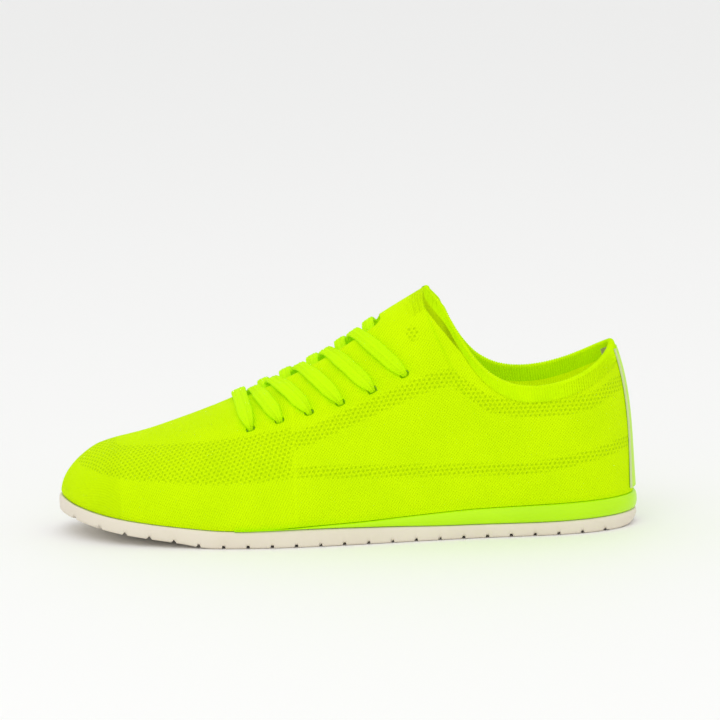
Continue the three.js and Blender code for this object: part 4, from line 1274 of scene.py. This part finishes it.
def linear(*srgb):
    """Linear colour from 8-bit sRGB numbers."""
    c = np.array(srgb, float) / 255
    return tuple(np.where(c <= 0.04045, c / 12.92, ((c + 0.055) / 1.055) ** 2.4).tolist())


KNIT_COLOR = linear(209, 247, 0)
# Darker knit colour, for random tone and for painted shade in the hollows of stitches and ribs.
KNIT_TONE_AND_SHADE = linear(188, 231, 0)
# Painted shade of the knit's holes: the perforations are drawn only by bump and this darker colour.
HOLE_SHADE_COLOR = linear(132, 180, 0)
# Painted glow of the lime fabrics: the emission colour, and the knit's strength, that brighten them and lift their
# shade.
PAINTED_GLOW, KNIT_PAINTED_GLOW = linear(205, 255, 0), 0.06
STITCH_PITCH, STITCH_COURSE, HOLE_PITCH, KNIT_RIB_PITCH = 1.15, 1.3, 2.35, 1.3


def stitches(s, u, v, pitch, course):
    """Height of a knit's columns of V-shaped stitches, and how far each place lies from a column's middle."""
    column = s.math("FRACT", s.mul(u, 1 / pitch))
    aside = s.mul(s.math("ABSOLUTE", s.math("SUBTRACT", column, 0.5)), 2.0)
    lean = s.math("MULTIPLY_ADD", aside, 0.75, s.mul(v, 1 / course))
    loop = s.math("SINE", s.mul(lean, 2 * math.pi))
    crown = s.math("SUBTRACT", 1.0, s.math("POWER", aside, 3.0))
    return s.add(s.mul(loop, 0.35), crown), aside


def holes(s, u, v, pitch):
    """Distance to the nearest point of a hexagonal grid, in millimetres."""
    rise = pitch * math.sqrt(3)
    found = []
    for shift in (0.0, 0.5):
        du = s.mul(s.math("SUBTRACT", s.math("FRACT", s.add(s.mul(u, 1 / pitch), shift)), 0.5), pitch)
        dv = s.mul(s.math("SUBTRACT", s.math("FRACT", s.add(s.mul(v, 1 / rise), shift)), 0.5), rise)
        found.append(s.math("SQRT", s.add(s.mul(du, du), s.mul(dv, dv))))
    return s.math("MINIMUM", found[0], found[1])


def knit_pattern(s, u, v, perforated):
    """Stitch relief, holes and the dimples round them, of the knit laid along u and v."""
    twill_u = s.add(s.mul(u, 0.8), s.mul(v, 0.6))
    twill_v = s.add(s.mul(u, -0.6), s.mul(v, 0.8))
    height, _ = stitches(s, twill_u, twill_v, STITCH_PITCH, STITCH_COURSE)
    away = holes(s, u, v, HOLE_PITCH)
    hole = s.mul(s.steps(away, 0.3, 0.66, 1.0, 0.0), perforated)
    dimple = s.mul(s.steps(away, 0.3, 1.1, 1.0, 0.0), perforated)
    return height, hole, dimple


def knit_material():
    s = Shade("knit_lime", KNIT_COLOR, 0.8)
    across, along = s.uv()
    run, climb = s.uv("wall")
    perforated, ahead, ribbed = s.mask("perforated"), s.mask("ahead"), s.mask("ribbed")
    front = knit_pattern(s, along, s.mul(across, -1.0), perforated)
    back = knit_pattern(s, run, climb, perforated)
    height, hole, dimple = (s.add(b, s.mul(s.math("SUBTRACT", a, b), ahead)) for a, b in zip(front, back))
    ribs = s.mul(s.wave(along, KNIT_RIB_PITCH), ribbed)
    relief = s.add(s.mul(height, 0.2), s.mul(ribs, 0.25))
    relief = s.add(relief, s.mul(dimple, -0.5))
    relief = s.add(relief, s.mul(s.noise(0.9, 3), 0.2))
    s.bump(relief, 0.8)
    fuzz = s.steps(s.noise(0.05, 3), 0.3, 0.7)
    base = s.mix(s.mul(fuzz, 0.3), KNIT_COLOR, KNIT_TONE_AND_SHADE)
    # Painted shade in the hollows between stitches.
    base = s.mix(s.steps(height, 0.1, 1.2, 0.42, 0.0), base, KNIT_TONE_AND_SHADE)
    # Painted shade in the troughs of the ribbing.
    base = s.mix(s.mul(s.steps(ribs, -0.9, 0.3, 0.5, 0.0), ribbed), base, KNIT_TONE_AND_SHADE)
    # Painted shade darkens the holes of the perforated zones.
    s.color(s.mix(s.mul(hole, 0.5), base, HOLE_SHADE_COLOR))
    s.set(Specular_IOR_Level=0.04)
    s.glow(PAINTED_GLOW, KNIT_PAINTED_GLOW)
    return s.material


def fine_fabric(name, color, deep, pitch, course, depth, glow=0.07):
    """Close knit of upright stitches."""
    s = Shade(name, color, 0.85)
    u, v = s.uv()
    height, aside = stitches(s, u, v, pitch, course)
    s.bump(s.add(s.mul(height, 0.3), s.mul(s.noise(1.1, 3), 0.4)), depth)
    # Painted shade towards the edges of the stitch columns, with random tone from noise.
    s.color(s.mix(s.add(s.mul(aside, 0.35), s.mul(s.steps(s.noise(0.06, 3), 0.3, 0.7), 0.4)), color, deep))
    s.set(Specular_IOR_Level=0.05)
    s.glow(PAINTED_GLOW, glow)
    return s.material


def woven(name, color, deep, pitch, depth, glow=0.0):
    """Plain weave: threads over and under in a chequer."""
    s = Shade(name, color, 0.75)
    u, v = s.uv()
    a, b = s.wave(u, pitch * 2), s.wave(v, pitch * 2)
    weave = s.mul(a, b)
    s.bump(s.add(weave, s.mul(s.noise(1.4, 2), 0.5)), depth)
    # Painted shade where the threads dip under, with random tone from noise.
    s.color(s.mix(s.steps(s.add(weave, s.noise(0.08, 2)), -0.8, 1.4, 0.5, 0.0), color, deep))
    s.set(Specular_IOR_Level=0.08)
    s.glow(PAINTED_GLOW, glow)
    return s.material


def moulded(name, color, deep, roughness, grain, wear, scale, coat=0.0):
    """Foam, rubber or film: fine grain, slow mottling."""
    s = Shade(name, color, roughness)
    s.bump(s.noise(scale, 4), grain)
    s.color(s.mix(s.mul(s.steps(s.noise(0.035, 4), 0.35, 0.75), wear), color, deep))
    s.set(Coat_Weight=coat, Coat_Roughness=0.25, Specular_IOR_Level=0.25)
    return s.material


# ------------------------------------------------------------------ assembly
def dress(obj, material, slot_name, bodies="rearfoot", replaced=()):
    """Gives a piece its material, slot and body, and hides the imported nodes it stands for."""
    obj.data.materials.clear()
    obj.data.materials.append(material)
    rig.slot(obj, slot_name)
    if isinstance(bodies, str):
        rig.ride(obj, bodies)
    else:
        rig.blend(obj, *bodies, FLEX_FROM, FLEX_TO)
    if replaced:
        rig.replaces(obj, *replaced)


def paint(node, material):
    obj = frame["nodes"][node]
    obj.data.materials.clear()
    obj.data.materials.append(material)


FLEXING = ("rearfoot", "forefoot")
knit = knit_material()
# Lining, tongue, lace and sockliner cloth take a painted glow as their last number; the lining's is the strongest, to
# lift the shade inside the collar.
collar_knit = fine_fabric("collar_knit", linear(208, 248, 0), linear(178, 224, 0), 1.35, 1.2, 0.25)
lining_knit = fine_fabric("lining_knit", linear(222, 240, 0), linear(198, 214, 0), 1.1, 1.2, 0.4, 0.2)
tongue_knit = fine_fabric("tongue_knit", linear(210, 250, 0), linear(190, 232, 0), 1.0, 1.15, 0.3, 0.14)
lace_weave = woven("lace_weave", linear(204, 255, 0), linear(178, 236, 0), 0.42, 0.12, 0.1)
foam_lime = moulded("midsole_foam_lime", linear(190, 244, 0), linear(174, 230, 0), 0.34, 0.02, 0.3, 0.7, 0.1)
foam_pale = moulded("midsole_foam_pale", linear(232, 230, 220), linear(214, 210, 196), 0.85, 0.08, 0.3, 1.2)
rubber = moulded("outsole_rubber", linear(231, 222, 206), linear(217, 205, 186), 0.6, 0.05, 0.4, 0.9)
board = moulded("lasting_board", linear(216, 212, 196), linear(190, 184, 164), 0.95, 0.1, 0.6, 1.5)
stiffener = moulded("stiffener", linear(218, 216, 204), linear(196, 194, 180), 0.55, 0.05, 0.4, 1.0)
film = moulded("eyestay_film", linear(226, 240, 120), linear(206, 226, 70), 0.45, 0.03, 0.4, 1.0, 0.2)
strip_film = moulded("heel_strip_film", linear(190, 240, 0), linear(174, 226, 0), 0.45, 0.03, 0.3, 0.9, 0.15)
piping = moulded("reflective_piping", linear(206, 220, 160), linear(186, 200, 132), 0.35, 0.04, 0.5, 2.2, 0.2)
patch = woven("heel_patch_fabric", linear(198, 188, 150), linear(172, 162, 124), 0.6, 0.18)
cloth = woven("sockliner_cloth", linear(196, 228, 4), linear(172, 206, 0), 0.7, 0.2, 0.1)
foam_bed = moulded("sockliner_foam", linear(236, 232, 214), linear(214, 208, 188), 0.9, 0.12, 0.4, 1.6)
tip = moulded("aglet_plastic", linear(216, 240, 112), linear(200, 226, 90), 0.25, 0.01, 0.2, 0.6, 0.4)

dress(upper_skin(), knit, "knit_upper", FLEXING, ("upper_quarters", "upper_toe", "upper_flex_zone"))
dress(collar_edge(), collar_knit, "knit_upper")
dress(lace_skin(), lace_weave, "lace_fabric", FLEXING, ("shoelace",))
dress(outsole_skin(), rubber, "outsole_rubber", FLEXING, ("outsole_rearfoot", "outsole_forefoot"))
dress(midsole_skin(), foam_lime, "midsole_foam_lime", "rearfoot", ("midsole_rearfoot",))

EYESTAY_FROM, EYESTAY_TO, EYESTAY_REACH, EYESTAY_THICK = 12.45, 18.55, 47, 0.65
EYESTAY_DEPTH = KNIT + 2 * GAP
for mark, sign in (("lateral", 1), ("medial", -1)):
    eyestay = instep_sheet(f"eyestay_{mark}_skin", EYESTAY_FROM, EYESTAY_TO, sign * (SLOT_HALF + GAP),
                           sign * EYESTAY_REACH, lambda t, a: np.full(len(t), -EYESTAY_DEPTH),
                           EYESTAY_THICK, holes=True)
    dress(eyestay, film, "eyestay_film", FLEXING, (f"eyestay_{mark}",))

GUSSET_DEPTH, GUSSET_HALF, GUSSET_THICK, GUSSET_FROM, GUSSET_TO = 6.1, 52, 1.2, 12.15, 18.9


def gusset_height(t, across):
    """Lies deep under the throat, rises to the knit at its two long edges, and puckers a little."""
    lift = smoothstep(np.abs(across), GUSSET_HALF - 9, GUSSET_HALF)
    pucker = 0.25 * np.sin(across / 3.1) * np.sin(t * 5)
    return -GUSSET_DEPTH + lift * (GUSSET_DEPTH - KNIT - 3 * GAP) + pucker


gusset = instep_sheet("tongue_gusset_skin", GUSSET_FROM, GUSSET_TO, -GUSSET_HALF, GUSSET_HALF, gusset_height,
                      GUSSET_THICK)
dress(gusset, tongue_knit, "knit_lining", FLEXING, ("tongue_gusset",))

COUNTER_THICK, LINING_AT_RIM, LINING_THICK = 1.4, 1.9, 0.9


def lining_depth(v):
    deep = KNIT + GAP + COUNTER_THICK + GAP
    return deep + (LINING_AT_RIM - deep) * smoothstep(v, 0.62, 0.9)


lining = wall_sheet("collar_lining_skin", round_heel(11, 0.1), np.linspace(0.16, 0.985, 60), lining_depth,
                    LINING_THICK)
dress(lining, lining_knit, "knit_lining", "rearfoot", ("collar_lining",))

PATCH_HALF, PATCH_THICK = 13, 0.6


def patch_columns():
    """Places round the heel that the patch covers, as pairs of side and station."""
    medial, lateral = (np.linspace(0, heel_station(side, 0.88, PATCH_HALF), 13) for side in (-1, 1))
    return [(-1, t) for t in medial[:0:-1]] + [(1, t) for t in lateral]


def patch_depth(v):
    return np.maximum(lining_depth(v) + LINING_THICK, 2 * COLLAR_RADIUS) + 0.15


patch_skin = wall_sheet("heel_patch_skin", patch_columns(), np.linspace(0.76, 0.975, 16), patch_depth,
                        PATCH_THICK)
dress(patch_skin, patch, "heel_patch_fabric", "rearfoot", ("heel_patch",))

STRIP_HALF_LOW, STRIP_HALF_HIGH, STRIP_THICK = 13, 8, 0.6
PIPING_WIDTH, PIPING_BULGE, PIPING_THICK = 1.3, 0.85, 0.6


def strip_half(v):
    return STRIP_HALF_LOW + (STRIP_HALF_HIGH - STRIP_HALF_LOW) * v


strip = heel_band("heel_strip_skin", lambda v: -strip_half(v), strip_half, 0.03, 0.97, GAP + STRIP_THICK,
                  STRIP_THICK)
dress(strip, strip_film, "heel_strip_film", "rearfoot", ("heel_strip",))
for mark, sign in (("lateral", 1), ("medial", -1)):
    near = lambda v, sign=sign: sign * (strip_half(v) + 0.1)
    far = lambda v, sign=sign: sign * (strip_half(v) + 0.3 + PIPING_WIDTH)
    bead = heel_band(f"heel_piping_{mark}_skin", near, far, 0.03, 0.985, GAP + 0.25, PIPING_THICK,
                     cols=13, bulge=PIPING_BULGE)
    dress(bead, piping, "reflective_piping", "rearfoot", (f"heel_piping_{mark}",))

MARGIN_THICK, BOARD_THICK, FOAM_THICK, CLOTH_THICK, TOE_LIFT = 1.5, 1.5, 4, 0.8, 0.7
SOCKLINER_INSET, CLOTH_INSET, FOAM_ROUND, CLOTH_ROUND = 7.2, 7.4, 1.4, 0.4
SPLIT_BACK, SPLIT_FRONT = 63.85, 64.15


def board_low(x):
    return feather_z(x) + GAP + MARGIN_THICK + GAP + TOE_LIFT * smoothstep(x, 112, 130)


def foam_low(x):
    return board_low(x) + BOARD_THICK + GAP


def cloth_low(x):
    return foam_low(x) + FOAM_THICK + GAP


for part, x0, x1, body in (("rearfoot", -BEYOND, SPLIT_BACK, "sockliner"),
                           ("forefoot", SPLIT_FRONT, BEYOND, "forefoot")):
    foam = layer_skin(f"sockliner_{part}_skin", SOCKLINER_INSET, foam_low, FOAM_THICK, x0, x1, FOAM_ROUND)
    dress(foam, foam_bed, "sockliner_foam", body, (f"sockliner_{part}",))
    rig.padded(foam, 0.95)
    top = layer_skin(f"sockliner_cloth_{part}_skin", CLOTH_INSET, cloth_low, CLOTH_THICK, x0, x1, CLOTH_ROUND)
    dress(top, cloth, "sockliner_cloth", body, (f"sockliner_cloth_{part}",))

for node, material in (("lasting_board_rearfoot", board), ("lasting_board_forefoot", board),
                       ("toe_puff", stiffener), ("heel_counter", stiffener), ("midsole_forefoot", foam_pale),
                       ("aglet_lateral", tip), ("aglet_medial", tip)):
    paint(node, material)


# ------------------------------------------------------------------ room, light and camera
scene = bpy.context.scene
scene.view_settings.view_transform = "Standard"
scene.view_settings.look = "None"


def floor(r=6.0):
    mesh = bpy.data.meshes.new("floor")
    mesh.from_pydata([(-r, -r, 0), (r, -r, 0), (r, r, 0), (-r, r, 0)], [], [(0, 1, 2, 3)])
    obj = bpy.data.objects.new("floor", mesh)
    scene.collection.objects.link(obj)
    s = Shade("floor_pale", linear(246, 246, 245), 0.7)
    s.bump(s.noise(0.02, 2), 0.02)
    obj.data.materials.append(s.material)
    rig.stage(obj)


def lamp(name, where, aim, size, watts):
    data = bpy.data.lights.new(name, "AREA")
    data.shape, data.size, data.energy = "DISK", size, watts
    obj = bpy.data.objects.new(name, data)
    scene.collection.objects.link(obj)
    obj.location = where
    obj.rotation_euler = (Vector(aim) - Vector(where)).to_track_quat("-Z", "Y").to_euler()
    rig.stage(obj)


floor()
WORLD_STRENGTH = 0.9
world = bpy.data.worlds.new("studio")
scene.world = world
world.use_nodes = True
world.node_tree.nodes["Background"].inputs["Color"].default_value = (1, 1, 1, 1)
world.node_tree.nodes["Background"].inputs["Strength"].default_value = WORLD_STRENGTH
lamp("key", (0.5, 1.0, 1.5), (0, 0, 0.04), 1.0, 3.2)
lamp("top", (-0.2, -0.2, 1.9), (0, 0, 0), 1.6, 2.4)
lamp("front", (0.2, 2.3, 0.9), (0, 0, 0.05), 1.6, 3.8)

AZIMUTH, ELEVATION, DISTANCE, LENS = 175.6, 10.3, 2.6, 259.3
AIM_RIGHT, AIM_UP, ROLL = 0.00617, 0.03453, -0.59


def main_camera():
    data = bpy.data.cameras.new("camera")
    data.lens, data.sensor_width = LENS, 36
    data.clip_start, data.clip_end = 0.05, 50
    obj = bpy.data.objects.new("camera", data)
    scene.collection.objects.link(obj)
    a, e = math.radians(AZIMUTH), math.radians(ELEVATION)
    back = Vector((math.sin(a) * math.cos(e), -math.cos(a) * math.cos(e), math.sin(e)))
    right = Vector((0, 0, 1)).cross(back).normalized()
    up = back.cross(right)
    centre = Vector((0, 0, 0.05))
    obj.location = centre + back * DISTANCE
    look = centre + right * AIM_RIGHT + up * AIM_UP - obj.location
    turn = Quaternion((0, 0, 1), math.radians(ROLL))
    obj.rotation_euler = (look.to_track_quat("-Z", "Y") @ turn).to_euler()
    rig.stage(obj)
    scene.camera = obj


main_camera()

visual_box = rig.bounds()
with open("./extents.json", "w") as out:
    json.dump({"cad": [list(c) for c in CAD_BOX], "visual": [list(c) for c in visual_box]}, out)
